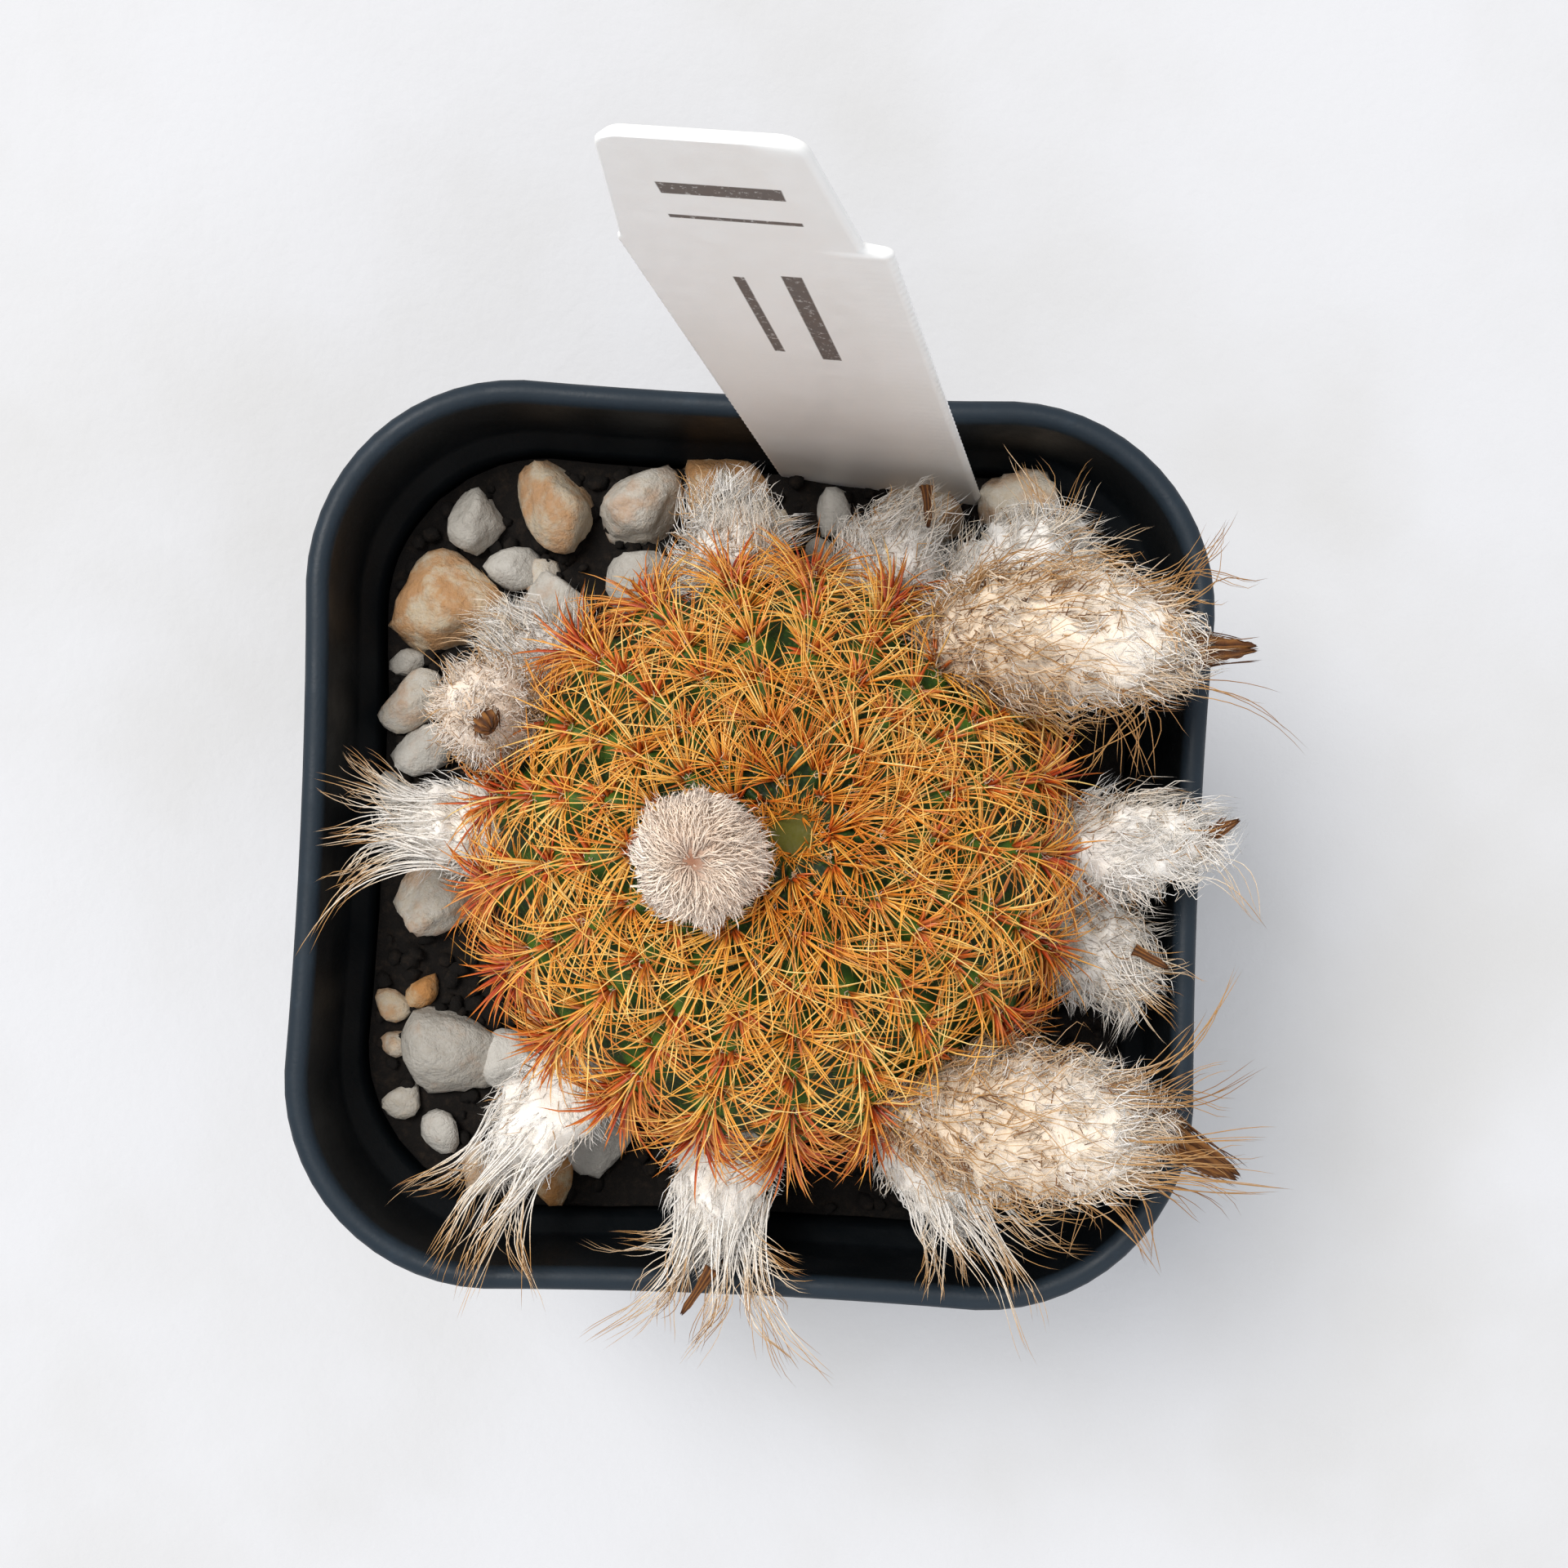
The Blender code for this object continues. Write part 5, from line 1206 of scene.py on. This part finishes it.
def labelSides(height, length):
    # How far the strip reaches left and right of its middle line at each height from its tip.
    notch = length - label["head"]
    below = notch - label["notchSlope"]
    heights = [0, label["point"], below, notch, length]
    full = label["half"]
    right = np.interp(height, heights, [label["tipHalf"], full, full, full - label["notchRight"], label["topHalf"]])
    left = np.interp(height, heights, [label["tipHalf"], full, full, full - label["notchLeft"], label["topHalf"]])
    rounding = np.clip((height - length + label["corner"]) / label["corner"], 0, 1)
    inward = label["corner"] * (1 - np.sqrt(1 - rounding ** 2))
    return left - inward, right - inward


def labelTeeth(height, length):
    # The cut edge's small teeth: tooth × cos(2 pi height / pitch), from the point's end up to the notch.
    teeth = label["tooth"] * np.cos(fullTurn * height / label["toothPitch"])
    return teeth * fade(height, label["point"], label["point"] + 1) * (height < length - label["head"] - 0.5)


def labelSection():
    # Corners of the strip's cross section, as (share of the width -1 to 1, across the edge, through the thickness).
    arc = np.linspace(0, math.pi / 2, 4)
    columns = np.array(label["columns"])
    across = np.concatenate([np.cos(arc), columns * 0])
    through = np.concatenate([np.sin(arc), np.ones(len(columns))])
    share = np.concatenate([np.ones(4), columns])
    return (np.concatenate([share, -share]), np.concatenate([across, -across]),
            np.concatenate([through, -through]))


def makeLabel():
    foot, notch = np.array(label["foot"]), np.array(label["notch"])
    up = unit(notch - foot)
    across = np.array([math.cos(math.radians(label["yaw"])), math.sin(math.radians(label["yaw"])), 0.0])
    across = unit(across - up * (across @ up))
    back = np.cross(up, across)
    tip = foot - up * label["buried"]
    length = label["buried"] + np.linalg.norm(notch - foot) + label["head"]
    rising = np.linspace(0, math.pi / 2, 7)[1:]
    height = np.concatenate([
        np.arange(0, length - label["corner"], label["ringGap"]),
        length - label["corner"] + label["corner"] * np.sin(rising)])
    left, right = labelSides(height, length)
    share, edge, through = labelSection()
    half = label["thick"] / 2
    reach = np.where(share[None] > 0, right[:, None], left[:, None]) - label["edge"]
    x = share[None] * reach + edge[None] * (label["edge"] + labelTeeth(height, length))[:, None]
    z = np.sign(through) * (half - label["edge"]) + through * label["edge"]
    rings = tip + across * x[..., None] + back * np.broadcast_to(z, x.shape)[..., None]
    rings = rings + up * height[:, None, None]
    points, faces = joinForms(rings[None], tip[None], (tip + up * length)[None])
    corners = len(share)
    values = {
        "across": np.concatenate([x.ravel(), [0, 0]]),
        "rise": np.concatenate([np.repeat(height, corners), [0, length]]),
        "front": np.concatenate([np.broadcast_to(-np.sign(z) * (np.abs(edge) < 0.01), x.shape).ravel(), [0, 0]]),
    }

    material, shader, wire = makeMaterial("labelPlastic", Roughness=0.4, Specular_IOR_Level=0.5)
    sideways, rise = wire.value("across"), wire.value("rise") - (length - label["head"])
    front = wire.value("front").step(0.3, 0.6)
    wear = wire.noise(0.35, detail=4, roughness=0.7).step(0.36, 0.44, 0.6, 1.0)
    soft, marks = label["soft"], 0.0
    for low, high, leftmost, rightmost in labelBars:
        bar = rise.step(low - soft, low + soft) * rise.step(high - soft, high + soft, 1.0, 0.0)
        bar = bar * sideways.step(leftmost - soft, leftmost + soft)
        marks = marks + bar * sideways.step(rightmost - soft, rightmost + soft, 1.0, 0.0)
    marks = marks * front * wear * 0.9
    tone = wire.noise(9, detail=3).blend(label["plastic"], label["aged"])
    connect(shader, Base_Color=marks.blend(tone, label["ink"]))
    connect(shader, Roughness=wire.noise(1.5, detail=4).step(0.3, 0.7, 0.34, 0.5) + marks * 0.2)
    connect(shader, Normal=wire.noise(0.5, detail=3).bump(0.015))
    makePiece("labelStrip", [(points, faces, values)], material, ["plant_label"])


makeLabel()
print("label made")


# Taproot, which only needs its bark

bark = dict(light=paint(150, 112, 72), dark=paint(74, 50, 30))


def dressRoot():
    material, shader, wire = makeMaterial("rootBark", Roughness=0.9)
    fibres = wire.noise(1, detail=5, where=wire.stretched((2.5, 2.5, 0.35)))
    connect(shader, Base_Color=fibres.step(0.3, 0.7).blend(bark["dark"], bark["light"]))
    connect(shader, Normal=fibres.bump(0.3))
    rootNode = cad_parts["taproot"]
    rootNode.data.materials.clear()
    rootNode.data.materials.append(material)


dressRoot()
print("root dressed")

triangles = {piece.name: sum(len(p.vertices) - 2 for p in piece.data.polygons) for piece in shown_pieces()}
print("triangles:", sum(triangles.values()), triangles)

bpy.context.view_layer.update()
